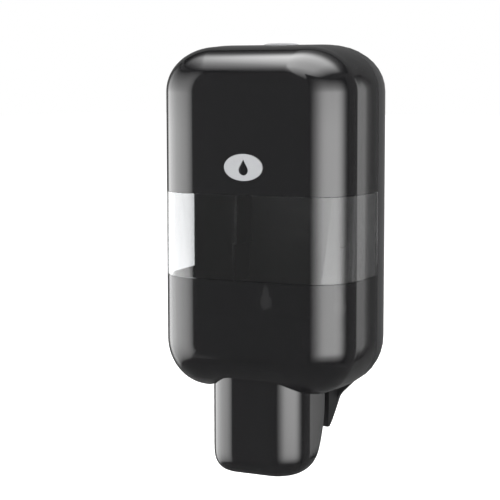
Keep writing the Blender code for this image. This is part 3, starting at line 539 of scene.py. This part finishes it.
def cover_part(name, low, high):
    """The part of the cover's shell between two heights."""
    obj = loft(name, cover_rings(0.0), cover_rings(COVER_WALL))
    grid = bmesh.new()
    grid.from_mesh(obj.data)
    for height, up in ((low, -1), (high, 1)):
        if abs(height) > TOP:
            continue
        cut = bmesh.ops.bisect_plane(
            grid, geom=grid.verts[:] + grid.edges[:] + grid.faces[:],
            plane_co=(0, 0, height), plane_no=(0, 0, up), clear_outer=True)
        edges = [item for item in cut["geom_cut"] if isinstance(item, bmesh.types.BMEdge)]
        bmesh.ops.edgeloop_fill(grid, edges=edges)
    bmesh.ops.recalc_face_normals(grid, faces=grid.faces)
    grid.to_mesh(obj.data)
    grid.free()
    return obj


def button_outline(grow):
    return oval(BUTTON_SIZE[0] / 2 + grow, BUTTON_SIZE[1] / 2 + grow, (0.0, BUTTON_Y))


def make_cover_upper():
    """Black upper part with the button's notch and the badge's seat."""
    obj = cover_part("cover_top", BAND_HIGH + SEAM, 1.0)
    notch = prism("notch", button_outline(RUNNING_GAP), "Z", TOP - 10 * MM, TOP + 2 * MM)
    seat = prism("seat", oval(EMBLEM_SIZE[0] / 2 + GAP, EMBLEM_SIZE[1] / 2 + GAP,
                              (0.0, EMBLEM_Z)), "Y",
                 FRONT - CUT_PAST, FRONT + EMBLEM_THICKNESS - EMBLEM_PROUD + GAP)
    carve(obj, ('DIFFERENCE', notch, seat))
    ease_edges(obj, settings().edge_radius)
    place_piece(obj, "cover", "cover", "cover", "cover_upper")


def make_cover_band():
    """Clear band round the front and both sides."""
    obj = cover_part("cover_band", BAND_LOW + SEAM, BAND_HIGH - SEAM)
    ease_edges(obj, 0.4 * settings().edge_radius)
    place_piece(obj, "cover", "band", "clear_band", "cover_window")


def opening_outline(grow, rear_y):
    """Plan of the opening through which the lever passes."""
    half = LEVER_OPENING
    radius = LEVER_CORNER + grow
    points = []
    for side, start in ((-1, 180), (1, 270)):
        points += arc((side * (half - radius), LEVER_FRONT - grow + radius), (radius, radius),
                      start)
    return points + [(half, rear_y), (-half, rear_y)]


def hinge_lug(name, side):
    """Eye round the hinge pin with an arm towards the cover's front."""
    low = HINGE_LUG_X if side > 0 else -HINGE_LUG_X - HINGE_EYE_WIDTH
    eye = rod(name, "X", HINGE, HINGE_EYE_RADIUS, low, low + HINGE_EYE_WIDTH)
    arm = block(name + "_arm", (low, low + HINGE_EYE_WIDTH), (HINGE[0] - HINGE_ARM, HINGE[0]),
                (HINGE[1] - HINGE_EYE_RADIUS, HINGE[1] + HINGE_EYE_RADIUS))
    bore = rod(name + "_bore", "X", HINGE, HINGE_PIN_RADIUS + GAP, low - CUT_PAST,
               low + HINGE_EYE_WIDTH + CUT_PAST)
    return [('UNION', eye, arm), ('DIFFERENCE', bore)]


def make_cover_lower():
    """Smoked lower part with the lever's opening, the mount's bosses and the hinge lugs."""
    obj = cover_part("cover_base", -1.0, BAND_LOW - SEAM)
    opening = prism("opening", opening_outline(2 * RUNNING_GAP, SPLIT + CUT_PAST), "Z",
                    BOTTOM - CUT_PAST, LEVER_TOP - RUNNING_GAP)
    steps = [('DIFFERENCE', opening)]
    for name, side in (("left", -1), ("right", 1)):
        centre = (side * MOUNT_SCREW_X, MOUNT_SCREW_Z)
        steps.append(('UNION', rod("boss_" + name, "Y", centre, BOSS_RADIUS,
                                   FRONT + COVER_WALL / 2, MOUNT_FRONT - GAP)))
        steps.append(('DIFFERENCE', rod("boss_hole_" + name, "Y", centre,
                                        SCREW["shank"] + GAP, FRONT + COVER_WALL / 2,
                                        MOUNT_FRONT + CUT_PAST)))
        steps += hinge_lug("lug_" + name, side)
    carve(obj, *steps)
    ease_edges(obj, settings().edge_radius)
    place_piece(obj, "cover", "smoke", "cover", "cover_lower")


# ---- lever -----------------------------------------------------------------------------


def lever_rear(z):
    """Depth of the lever's rear edge: upright above, an ellipse down to the toe."""
    drop = max(LEVER_SWEEP_START - z, 0.0)
    reach = LEVER_SWEEP_START - LEVER_BOTTOM + LEVER_SWEEP_EXTRA
    share = math.sqrt(max(1 - (drop / reach) ** 2, 0))
    return LEVER_SWEEP_Y + (LEVER_REAR - LEVER_SWEEP_Y) * share


def lever_ring(z, inward, rear_y, wall):
    """Plan of the lever at one height; its sides flare a little towards the rear."""
    half = LEVER_HALF - LEVER_TOE["side"] * inward - wall
    front = LEVER_FRONT + LEVER_TOE["front"] * inward + wall
    radius = max(LEVER_CORNER - LEVER_TOE["side"] * inward - wall, SMALLEST_CORNER)
    flare, span = math.tan(LEVER_FLARE), 90 - math.degrees(LEVER_FLARE)
    tangent_y = front + radius - radius * math.sin(LEVER_FLARE)
    centre_x = (half - flare * (LEVER_REAR - tangent_y)) - radius * math.cos(LEVER_FLARE)
    points = []
    for side, start in ((-1, 270 - span), (1, 270)):
        points += arc((side * centre_x, front + radius), (radius, radius), start, span)
    rear_half = half - flare * (LEVER_REAR - rear_y)
    points += [(rear_half, rear_y), (-rear_half, rear_y)]
    return [Vector((x, y, z)) for x, y in points]


def lever_rings(wall, open_rear):
    """Rings of the lever from its top to its toe."""
    toe_start = LEVER_BOTTOM + LEVER_TOE["height"]
    levels = [(LEVER_TOP + (CUT_PAST if wall else 0.0), 0.0)]
    for i in range(SWEEP_STEPS + 1):
        levels.append((LEVER_SWEEP_START + (toe_start - LEVER_SWEEP_START) * i / SWEEP_STEPS,
                       0.0))
    for i in range(1, ROUND_STEPS + 1):
        angle = math.radians(90 * i / ROUND_STEPS)
        levels.append((toe_start - (LEVER_TOE["height"] - wall)
                       * math.sin(angle) ** LEVER_TOE_POWER,
                       1 - max(math.cos(angle), 0.0) ** LEVER_TOE_POWER))
    return [lever_ring(z, inward,
                       SPLIT if open_rear else lever_rear(z) - LEVER_TOE["rear"] * inward, wall)
            for z, inward in levels]


def make_lever():
    """Push lever: a scoop open at the rear, with two ears round the axle."""
    obj = loft("lever_scoop", lever_rings(0.0, False))
    steps = [('DIFFERENCE', loft("scoop_inside", lever_rings(LEVER_WALL, True)))]
    for name, side in (("left", -1), ("right", 1)):
        x = sorted((side * LEVER_EAR_X, side * (LEVER_EAR_X - LEVER_WALL)))
        ear = rod("ear_" + name, "X", LEVER_PIVOT, LEVER_EAR_RADIUS, *x)
        neck = prism("neck_" + name, (
            (LEVER_PIVOT[0] - LEVER_EAR_RADIUS, LEVER_PIVOT[1]),
            (LEVER_PIVOT[0] + LEVER_EAR_RADIUS, LEVER_PIVOT[1]),
            (LEVER_REAR, LEVER_TOP - 1 * MM),
            (LEVER_FRONT + LEVER_CORNER, LEVER_TOP - 1 * MM)), "X", *x)
        steps.append(('UNION', ear, neck))
    steps.append(('DIFFERENCE', rod("ear_bore", "X", LEVER_PIVOT, AXLE_RADIUS + GAP,
                                    -2 * LEVER_HALF, 2 * LEVER_HALF)))
    carve(obj, *steps)
    ease_edges(obj, 2 * settings().edge_radius)
    place_piece(obj, "lever", "cover", "cover", "push_lever")


# ---- badge and button ------------------------------------------------------------------


def make_badge():
    """Oval badge with a drop cut through it."""
    low = FRONT - EMBLEM_PROUD
    obj = prism("cover_badge", oval(EMBLEM_SIZE[0] / 2, EMBLEM_SIZE[1] / 2, (0.0, EMBLEM_Z)),
                "Y", low, low + EMBLEM_THICKNESS)
    half, height = DROP_SIZE[0] / 2, DROP_SIZE[1]
    centre_z = EMBLEM_Z - height / 2 + half
    outline = [(0.0, centre_z - half + height),
               *arc((0.0, centre_z), (half, half), *DROP_ARC, DROP_STEPS)]
    carve(obj, ('DIFFERENCE', prism("drop", outline, "Y", low - CUT_PAST,
                                    low + EMBLEM_THICKNESS + CUT_PAST)))
    ease_edges(obj, BADGE_EDGE)
    place_piece(obj, "cover", "light", "light_plastic", "cover_emblem")


def make_button():
    """Oval push button with a domed top."""
    rings = [[Vector((x, y, TOP + height)) for x, y in button_outline(0.0)]
             for height in (-BUTTON_SKIRT, DOME_START)]
    for i in range(1, DOME_STEPS + 1):
        angle = math.radians(DOME_STEP_ANGLE * i)
        scale = math.cos(angle)
        z = TOP + DOME_START + (BUTTON_PROUD - DOME_START) * math.sin(angle)
        rings.append([Vector((x * scale, BUTTON_Y + (y - BUTTON_Y) * scale, z))
                      for x, y in button_outline(0.0)])
    obj = loft("push_button", rings)
    shade(obj, 50)
    place_piece(obj, "latch", "light", "light_plastic", "lock_button")


# ---- screws and springs by Geometry Nodes ----------------------------------------------


def node_group(name, inputs):
    """A Geometry Nodes group with a geometry input, named inputs and a geometry output."""
    tree = bpy.data.node_groups.new(name, 'GeometryNodeTree')
    tree.interface.new_socket("Geometry", in_out='INPUT', socket_type='NodeSocketGeometry')
    for label, kind, value in inputs:
        socket = tree.interface.new_socket(label, in_out='INPUT', socket_type=kind)
        if value is not None:
            socket.default_value = value
    tree.interface.new_socket("Geometry", in_out='OUTPUT', socket_type='NodeSocketGeometry')
    source = add_node(tree, "NodeGroupInput")
    return tree, source


def end_group(tree, geometry, source):
    """Close a group with Realize Instances and Set Material."""
    real = add_node(tree, "GeometryNodeRealizeInstances", links={"Geometry": geometry})
    painted = add_node(tree, "GeometryNodeSetMaterial", links={
        "Geometry": real.outputs["Geometry"], "Material": source.outputs["Material"]})
    add_node(tree, "NodeGroupOutput", links={"Geometry": painted.outputs["Geometry"]})


def run_group(obj, tree, values):
    """Put a node group on an object, with its inputs set."""
    modifier = obj.modifiers.new(tree.name, 'NODES')
    modifier.node_group = tree
    for item in tree.interface.items_tree:
        if item.in_out == 'INPUT' and item.name in values:
            modifier[item.identifier] = values[item.name]


def math_node(tree, operation, a, b):
    node = add_node(tree, "ShaderNodeMath", operation=operation)
    for index, value in enumerate((a, b)):
        if isinstance(value, (int, float)):
            node.inputs[index].default_value = value
        else:
            tree.links.new(value, node.inputs[index])
    return node.outputs[0]


def vector_of(tree, **parts):
    """A vector whose parts come from sockets."""
    return add_node(tree, "ShaderNodeCombineXYZ",
                    links={key.upper(): socket for key, socket in parts.items()}).outputs[0]


def screw_group():
    """A small pan-head screw on each point, its shank along the point's -Z."""
    tree, source = node_group("small_screws", (
        ("Head Radius", 'NodeSocketFloat', SCREW["head"]),
        ("Head Height", 'NodeSocketFloat', SCREW["height"]),
        ("Shank Radius", 'NodeSocketFloat', SCREW["shank"]),
        ("Length", 'NodeSocketFloat', SCREW["length"]),
        ("Turn", 'NodeSocketFloat', 0.0),
        ("Material", 'NodeSocketMaterial', None)))
    out = source.outputs
    head = add_node(tree, "GeometryNodeMeshCylinder",
                    {"Vertices": 40, "Side Segments": 3},
                    {"Radius": out["Head Radius"], "Depth": out["Head Height"]})
    # The head's upper third draws in, which makes the pan shape
    height = math_node(tree, 'DIVIDE', out["Head Height"], 2.0)
    place = add_node(tree, "GeometryNodeInputPosition")
    parts = add_node(tree, "ShaderNodeSeparateXYZ", links={"Vector": place.outputs[0]})
    rise = math_node(tree, 'DIVIDE', parts.outputs["Z"], height)
    high = math_node(tree, 'GREATER_THAN', rise, 0.9)
    shrink = math_node(tree, 'SUBTRACT', 1.0, math_node(tree, 'MULTIPLY', high, 0.22))
    moved = vector_of(tree, x=math_node(tree, 'MULTIPLY', parts.outputs["X"], shrink),
                      y=math_node(tree, 'MULTIPLY', parts.outputs["Y"], shrink),
                      z=parts.outputs["Z"])
    panned = add_node(tree, "GeometryNodeSetPosition", links={
        "Geometry": head.outputs["Mesh"], "Position": moved})
    raised = add_node(tree, "GeometryNodeTransform", links={
        "Geometry": panned.outputs["Geometry"], "Translation": vector_of(tree, z=height)})
    # Cross recess: two bars sunk into the head
    bar = add_node(tree, "GeometryNodeMeshCube")
    tree.links.new(vector_of(tree, x=math_node(tree, 'MULTIPLY', out["Head Radius"], 1.15),
                             y=math_node(tree, 'MULTIPLY', out["Head Radius"], 0.24),
                             z=math_node(tree, 'MULTIPLY', out["Head Height"], 1.1)),
                   bar.inputs["Size"])
    lift = vector_of(tree, z=out["Head Height"])
    bars = []
    for angle in (0.0, math.pi / 2):
        turned = add_node(tree, "GeometryNodeTransform", {"Rotation": (0.0, 0.0, angle)},
                          {"Geometry": bar.outputs["Mesh"], "Translation": lift})
        bars.append(turned.outputs["Geometry"])
    cut = add_node(tree, "GeometryNodeMeshBoolean", operation='DIFFERENCE', solver='EXACT')
    tree.links.new(raised.outputs["Geometry"], cut.inputs["Mesh 1"])
    for socket in bars:
        tree.links.new(socket, cut.inputs["Mesh 2"])
    # Shank with its thread's ridges, as a stack of turned grooves
    shank = add_node(tree, "GeometryNodeMeshCylinder",
                     {"Vertices": 28, "Side Segments": 36},
                     {"Radius": out["Shank Radius"], "Depth": out["Length"]})
    place2 = add_node(tree, "GeometryNodeInputPosition")
    parts2 = add_node(tree, "ShaderNodeSeparateXYZ", links={"Vector": place2.outputs[0]})
    wave = math_node(tree, 'SINE', math_node(tree, 'MULTIPLY', parts2.outputs["Z"],
                                             2 * math.pi / THREAD_PITCH), 0.0)
    factor = math_node(tree, 'SUBTRACT', 0.91, math_node(tree, 'MULTIPLY', wave, 0.085))
    threaded = add_node(tree, "GeometryNodeSetPosition", links={
        "Geometry": shank.outputs["Mesh"],
        "Position": vector_of(tree, x=math_node(tree, 'MULTIPLY', parts2.outputs["X"], factor),
                              y=math_node(tree, 'MULTIPLY', parts2.outputs["Y"], factor),
                              z=parts2.outputs["Z"])})
    lowered = add_node(tree, "GeometryNodeTransform", links={
        "Geometry": threaded.outputs["Geometry"],
        "Translation": vector_of(tree, z=math_node(tree, 'MULTIPLY', out["Length"], -0.499))})
    one = add_node(tree, "GeometryNodeJoinGeometry")
    tree.links.new(cut.outputs["Mesh"], one.inputs[0])
    tree.links.new(lowered.outputs["Geometry"], one.inputs[0])
    spots = add_node(tree, "GeometryNodeMeshToPoints", links={"Mesh": out["Geometry"]})
    stand = add_node(tree, "FunctionNodeAxisAngleToRotation", {"Axis": (1.0, 0.0, 0.0)},
                     {"Angle": out["Turn"]})
    copies = add_node(tree, "GeometryNodeInstanceOnPoints", links={
        "Points": spots.outputs["Points"], "Instance": one.outputs["Geometry"],
        "Rotation": stand.outputs["Rotation"]})
    end_group(tree, copies.outputs["Instances"], source)
    return tree


def make_screws(name, body, spots, turn, nodes):
    """Screws at the given points, heads towards the viewer or away from them."""
    mesh = bpy.data.meshes.new(name)
    mesh.from_pydata(spots, [], [])
    obj = link_mesh(name, mesh)
    tree = bpy.data.node_groups.get("small_screws") or screw_group()
    run_group(obj, tree, {"Turn": turn, "Material": material("steel")})
    bake(obj)
    shade(obj, 35)
    place_piece(obj, body, "steel", "steel", *nodes)


def wire_group():
    """Round wire along a path, with a closed end at each side."""
    tree, source = node_group("spring_wire", (
        ("Wire Radius", 'NodeSocketFloat', LATCH_SPRING["wire"]),
        ("Material", 'NodeSocketMaterial', None)))
    profile = add_node(tree, "GeometryNodeCurvePrimitiveCircle", {"Resolution": 10},
                       {"Radius": source.outputs["Wire Radius"]})
    tube = add_node(tree, "GeometryNodeCurveToMesh", {"Fill Caps": True}, {
        "Curve": source.outputs["Geometry"], "Profile Curve": profile.outputs["Curve"]})
    end_group(tree, tube.outputs["Mesh"], source)
    return tree


def make_spring(name, body, points, radius, node):
    """A wound spring along its path."""
    curve = bpy.data.curves.new(name + "_path", 'CURVE')
    curve.dimensions = '3D'
    spline = curve.splines.new('POLY')
    spline.points.add(len(points) - 1)
    for item, point in zip(spline.points, points):
        item.co = (*point, 1.0)
    path = bpy.data.objects.new(name + "_path", curve)
    bpy.context.scene.collection.objects.link(path)
    tree = bpy.data.node_groups.get("spring_wire") or wire_group()
    run_group(path, tree, {"Wire Radius": radius, "Material": material("steel")})
    obj = link_mesh(name, finished_mesh(path))
    bpy.data.objects.remove(path, do_unlink=True)
    shade(obj, 60)
    return place_piece(obj, body, "steel", "steel", node)


def make_latch_spring():
    """Compression spring under the latch."""
    low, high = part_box("lock_spring")
    radius, wire, turns = (LATCH_SPRING[key] for key in ("radius", "wire", "turns"))
    rise = high.z - low.z - 2 * wire
    helix = []
    for i in range(HELIX_STEPS + 1):
        angle = math.tau * i / (HELIX_STEPS / turns)
        helix.append(Vector((radius * math.cos(angle), BUTTON_Y + radius * math.sin(angle),
                             low.z + wire + rise * i / HELIX_STEPS)))
    spring = make_spring("button_spring", "housing", helix, wire, "lock_spring")
    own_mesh(spring)


def make_return_spring(name, side):
    """Torsion spring round the lever's axle, with a leg at each end."""
    size = RETURN_SPRING
    helix = []
    for i in range(HELIX_STEPS + 1):
        turn = size["turns"] * i / HELIX_STEPS
        angle = math.pi + math.tau * turn
        helix.append(Vector((side * (size["x"] + size["pitch"] * turn),
                             LEVER_PIVOT[0] + size["radius"] * math.cos(angle),
                             LEVER_PIVOT[1] + size["radius"] * math.sin(angle))))
    ends = helix[0] + Vector(size["leg"]), helix[-1] + Vector(size["last_leg"])
    make_spring("return_spring_" + name, "cover", [ends[0], *helix, ends[1]], size["wire"],
                "lever_spring_" + name)


# ---- operators -------------------------------------------------------------------------


class DISPENSER_OT_cover(bpy.types.Operator):
    """Build the cover's three parts, its badge and its catch"""
    bl_idname = "dispenser.cover"
    bl_label = "Cover"

    def execute(self, context):
        make_cover_upper()
        make_cover_band()
        make_cover_lower()
        make_badge()
        moulded_copy("catch_plate", "latch_catch", "cover", "inner", "inner_plastic", CATCH_EDGE)
        return {'FINISHED'}


class DISPENSER_OT_lever(bpy.types.Operator):
    """Build the push lever with its fork, mount, axle, stops and springs"""
    bl_idname = "dispenser.lever"
    bl_label = "Lever"

    def execute(self, context):
        make_lever()
        moulded_copy("lifter_fork", "pump_fork", "lever", "inner", "inner_plastic", SOFT_EDGE)
        moulded_copy("lever_mount", "axle_mount", "cover", "inner", "inner_plastic", INNER_EDGE)
        moulded_copy("lever_axle", "axle_pin", "cover", "steel", "steel", SOFT_EDGE)
        for side in ("left", "right"):
            moulded_copy("lever_stop_" + side, "rubber_stop_" + side, "cover", "rubber",
                         "rubber", RUBBER_EDGE)
        for name, side in (("left", -1), ("right", 1)):
            make_return_spring(name, side)
        return {'FINISHED'}


class DISPENSER_OT_housing(bpy.types.Operator):
    """Build the back housing, the bottle guides, the cradle and the hinge pins"""
    bl_idname = "dispenser.housing"
    bl_label = "Housing"

    def execute(self, context):
        moulded_copy("rear_housing", "back_housing", "housing", "housing", "housing", INNER_EDGE)
        moulded_copy("nozzle_cradle", "cradle", "housing", "inner", "inner_plastic", SOFT_EDGE)
        for side in ("left", "right"):
            moulded_copy("bottle_guide_" + side, "guide_" + side, "housing", "inner",
                         "inner_plastic", SOFT_EDGE)
            moulded_copy("hinge_pin_" + side, "pivot_pin_" + side, "housing", "steel", "steel",
                         SOFT_EDGE)
        return {'FINISHED'}


class DISPENSER_OT_latch(bpy.types.Operator):
    """Build the push button, the latch slider, its bracket and its spring"""
    bl_idname = "dispenser.latch"
    bl_label = "Latch"

    def execute(self, context):
        make_button()
        moulded_copy("latch_slider", "latch_hook", "latch", "inner", "inner_plastic", INNER_EDGE)
        moulded_copy("lock_bracket", "latch_bracket", "housing", "inner", "inner_plastic",
                     INNER_EDGE)
        make_latch_spring()
        return {'FINISHED'}


class DISPENSER_OT_fasteners(bpy.types.Operator):
    """Build the six small screws"""
    bl_idname = "dispenser.fasteners"
    bl_label = "Screws"

    def execute(self, context):
        spots, nodes = [], []
        for (x, z), seat, label in ((CRADLE_SCREWS, CRADLE_SEAT_Y, "cradle_screw_"),
                                    (BRACKET_SCREWS, BRACKET_SEAT_Y, "bracket_screw_")):
            for side, sign in (("left", -1), ("right", 1)):
                low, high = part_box(label + side)
                spots.append((sign * x, low.y + SCREW["height"], (low.z + high.z) / 2))
                nodes.append(label + side)
        make_screws("housing_screws", "housing", spots, math.pi / 2, nodes)
        spots, nodes = [], []
        for side, sign in (("left", -1), ("right", 1)):
            low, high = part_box("mount_screw_" + side)
            spots.append((sign * MOUNT_SCREW_X, high.y - SCREW["height"],
                          (low.z + high.z) / 2))
            nodes.append("mount_screw_" + side)
        make_screws("mount_screws", "cover", spots, -math.pi / 2, nodes)
        return {'FINISHED'}


# ---- stage -----------------------------------------------------------------------------

# How bright each softbox is, by direction: (degrees, level) along its width and height
LEFT_BOX = (
    ((-122, 0.05), (-117, 1.0), (-111, 2.3), (-100, 2.5), (-88, 2.85), (-64, 2.95), (-50, 2.75),
     (-42, 2.3), (-36, 1.7), (-32, 1.1), (-29.5, 0.35), (-28.3, 0)),
    ((-36, 0), (-31, 0.35), (-24, 0.6), (-18, 0.8), (-11, 1), (-1, 1), (2, 0.75), (6, 0.58),
     (11, 0.42), (17, 0.25), (24, 0.1), (28, 0)),
)
RIGHT_BOX = (
    ((9, 0), (14.5, 0.39), (23, 1.3), (31.5, 2.44), (40, 3.45), (49.5, 3.87), (59, 3.9),
     (72, 3.9), (80, 3.4), (87, 2.5), (93, 1.5), (98, 0.68), (104, 0.2), (109, 0)),
    ((-31, 0), (-26, 0.2), (-22, 0.38), (-19, 0.6), (-16, 0.85), (-13, 0.95), (-1, 1),
     (3, 0.76), (7, 0.57), (12, 0.4), (18, 0.26), (25, 0.12), (31, 0)),
)
REAR_STRIP = (
    ((145.2, 0.1), (147, 0.35), (148.3, 0.62), (149.8, 0.76), (150.8, 0.6), (151.8, 0.32),
     (153, 0.18), (155, 0.1), (157, 0.1)),
    ((-24, 0), (-21, 0.55), (-16, 0.72), (-6, 0.9), (0, 1), (6, 0.98), (14, 0.86), (18, 0.7),
     (21, 0)),
)
TOP_BOX = (
    ((-1.5, 0), (-1.1, 0.1), (-0.8, 0.25), (-0.6, 0.42), (-0.51, 0.65), (-0.475, 0.89),
     (-0.455, 1.0), (-0.435, 1.13), (-0.41, 1.2), (-0.3, 1.2), (0, 1.1), (0.3, 1.0),
     (0.5, 0.9), (0.7, 0.6), (0.96, 0.25), (1.15, 0)),
    ((-3.2, 0), (-2.6, 0.7), (-1.9, 1.4), (-1.24, 2.4), (-0.85, 3.4), (-0.57, 3.6),
     (-0.35, 3.7), (-0.17, 4.1), (0, 4.3), (0.1, 4.4), (0.2, 4.0), (0.3, 2.9), (0.38, 1.9),
     (0.48, 0.9), (0.6, 0.35), (0.8, 0.15), (1.1, 0)),
)
BOX_DISTANCE = 3.0
TOP_HEIGHT = 2.5
STEPS_PER_STOP = 3
FLOOR_SPAN = ((-12, 12), (-2.5, 20))
FLOOR_GLOW = 0.8
ROOM_LEVEL = {"diffuse": 0.4, "mirrored": 0.12}
# Which way, through clear plastic, the room is white: backwards, and not to the right
WHITE_PAST_Y = 0.2
WHITE_UP_TO_X = 0.05
# In a mirror, it is white only where it is right behind
WHITE_BEHIND = {"From Min": 0.955, "From Max": 0.975}


def grid_lines(stops):
    """Positions and levels along one side of a softbox, finer than its stops."""
    lines = [stops[0]]
    for (a, low), (b, high) in zip(stops, stops[1:]):
        for i in range(1, STEPS_PER_STOP + 1):
            share = i / STEPS_PER_STOP
            lines.append((a + (b - a) * share, low + (high - low) * share))
    return lines


def softbox(name, profile, place):
    """A glowing panel; its light fades across its width and height as the profile says."""
    columns, rows = [grid_lines(stops) for stops in profile]
    grid = [(place(a, b), across * up) for b, up in rows for a, across in columns]
    faces = []
    for j in range(len(rows) - 1):
        for i in range(len(columns) - 1):
            k = j * len(columns) + i
            faces.append((k, k + 1, k + len(columns) + 1, k + len(columns)))
    mesh = bpy.data.meshes.new(name)
    mesh.from_pydata([point for point, level in grid], [], faces)
    glow = mesh.attributes.new("glow", 'FLOAT', 'POINT')
    glow.data.foreach_set("value", [level for point, level in grid])
    obj = link_mesh(name, mesh)
    panel, tree, output = new_material(name + "_fabric")
    level = add_node(tree, "ShaderNodeAttribute", attribute_name="glow")
    light = add_node(tree, "ShaderNodeEmission", links={"Strength": level.outputs["Fac"]})
    tree.links.new(light.outputs["Emission"], output.inputs["Surface"])
    mesh.materials.append(panel)
    obj.visible_camera = False
    obj.visible_transmission = False


def around(azimuth, elevation):
    """A point at a direction from the dispenser, azimuth 0 in front and 90 to the right."""
    a, e = math.radians(azimuth), math.radians(elevation)
    return VIEW_CENTRE + BOX_DISTANCE * Vector(
        (math.sin(a) * math.cos(e), -math.cos(a) * math.cos(e), math.sin(e)))


def overhead(x, y):
    return VIEW_CENTRE + TOP_HEIGHT * Vector((x, y, 1.0))


def seen_directly(tree, vector):
    """1 for what the camera sees, straight on or straight through clear plastic."""
    path = add_node(tree, "ShaderNodeLightPath")
    parts = add_node(tree, "ShaderNodeSeparateXYZ", links={"Vector": vector})
    through = path.outputs["Is Transmission Ray"]
    for passed in (math_node(tree, 'LESS_THAN', path.outputs["Diffuse Depth"], 0.5),
                   math_node(tree, 'GREATER_THAN', parts.outputs["Y"], WHITE_PAST_Y),
                   math_node(tree, 'LESS_THAN', parts.outputs["X"], WHITE_UP_TO_X)):
        through = math_node(tree, 'MULTIPLY', through, passed)
    return path, parts, math_node(tree, 'MAXIMUM', path.outputs["Is Camera Ray"], through)


def make_floor():
    """Pale floor; it looks white, and keeps the dispenser's soft shadow."""
    floor = link_mesh("floor", bpy.data.meshes.new("floor"))
    (left, right), (near, far) = FLOOR_SPAN
    corners = [(x, y, -settings().floor_drop)
               for x, y in ((left, near), (right, near), (right, far), (left, far))]
    floor.data.from_pydata(corners, [], [(0, 1, 2, 3)])
    paint, tree, output = new_material("white_floor")
    matt = add_node(tree, "ShaderNodeBsdfDiffuse", {"Color": linear("#f4f4f4")})
    glow = add_node(tree, "ShaderNodeEmission", {"Strength": FLOOR_GLOW})
    where = add_node(tree, "ShaderNodeNewGeometry")
    path, parts, direct = seen_directly(tree, where.outputs["Position"])
    seen = add_node(tree, "ShaderNodeMixShader", links={0: direct, 2: glow.outputs["Emission"]})
    both = add_node(tree, "ShaderNodeAddShader", links={
        0: matt.outputs["BSDF"], 1: seen.outputs["Shader"]})
    tree.links.new(both.outputs["Shader"], output.inputs["Surface"])
    floor.data.materials.append(paint)
    floor.visible_glossy = False


def make_world():
    """White room for the camera and through clear plastic; dim studio for the rest."""
    world = bpy.data.worlds.new("studio")
    bpy.context.scene.world = world
    world.use_nodes = True
    tree = world.node_tree
    tree.nodes.clear()
    place = add_node(tree, "ShaderNodeTexCoord")
    path, parts, direct = seen_directly(tree, place.outputs["Generated"])
    behind = add_node(tree, "ShaderNodeMapRange", WHITE_BEHIND,
                      {"Value": parts.outputs["Y"]}).outputs["Result"]
    mirrored = math_node(tree, 'MULTIPLY', path.outputs["Is Glossy Ray"], behind)
    white = math_node(tree, 'MAXIMUM', mirrored, direct)
    room = spread(tree, path.outputs["Is Glossy Ray"], ROOM_LEVEL["diffuse"],
                  ROOM_LEVEL["mirrored"])
    strength = add_node(tree, "ShaderNodeMapRange", {"To Max": 1.0},
                        {"Value": white, "To Min": room}).outputs["Result"]
    light = add_node(tree, "ShaderNodeBackground", {"Color": (1, 1, 1, 1)},
                     {"Strength": strength})
    output = add_node(tree, "ShaderNodeOutputWorld", links={"Surface": light.outputs[0]})
    output.is_active_output = True


def make_camera():
    azimuth, elevation = math.radians(VIEW_AZIMUTH), math.radians(VIEW_ELEVATION)
    outward = Vector((math.sin(azimuth) * math.cos(elevation),
                      -math.cos(azimuth) * math.cos(elevation), math.sin(elevation)))
    data = bpy.data.cameras.new("camera")
    data.lens = LENS
    data.shift_x, data.shift_y = SHIFT
    data.clip_start = 0.01
    data.clip_end = 100
    camera = bpy.data.objects.new("camera", data)
    camera.location = VIEW_CENTRE + VIEW_DISTANCE * outward
    camera.rotation_euler = outward.to_track_quat('Z', 'Y').to_euler()
    bpy.context.scene.collection.objects.link(camera)
    bpy.context.scene.camera = camera


class DISPENSER_OT_stage(bpy.types.Operator):
    """Build the floor, the softboxes, the white room and the camera"""
    bl_idname = "dispenser.stage"
    bl_label = "Stage"

    def execute(self, context):
        context.scene.view_settings.view_transform = 'Standard'
        make_camera()
        make_floor()
        make_world()
        softbox("left_softbox", LEFT_BOX, around)
        softbox("right_softbox", RIGHT_BOX, around)
        softbox("rear_strip", REAR_STRIP, around)
        softbox("top_softbox", TOP_BOX, overhead)
        return {'FINISHED'}


class DISPENSER_PT_panel(bpy.types.Panel):
    """Settings and build buttons"""
    bl_idname = "DISPENSER_PT_panel"
    bl_label = "Soap Dispenser"
    bl_space_type = 'VIEW_3D'
    bl_region_type = 'UI'
    bl_category = "Dispenser"

    def draw(self, context):
        chosen = context.scene.dispenser
        for name in chosen.bl_rna.properties.keys():
            if name not in ("rna_type", "name"):
                self.layout.prop(chosen, name)
        for operator in OPERATORS:
            self.layout.operator(operator.bl_idname)


OPERATORS = (
    DISPENSER_OT_stage,
    DISPENSER_OT_housing,
    DISPENSER_OT_latch,
    DISPENSER_OT_cover,
    DISPENSER_OT_lever,
    DISPENSER_OT_fasteners,
)
CLASSES = (DispenserSettings, *OPERATORS, DISPENSER_PT_panel)


def register():
    for item in CLASSES:
        bpy.utils.register_class(item)
    bpy.types.Scene.dispenser = bpy.props.PointerProperty(type=DispenserSettings)


def unregister():
    del bpy.types.Scene.dispenser
    for item in reversed(CLASSES):
        bpy.utils.unregister_class(item)


def main():
    register()
    for operator in OPERATORS:
        group, name = operator.bl_idname.split(".")
        getattr(getattr(bpy.ops, group), name)()


if __name__ == "__main__":
    main()
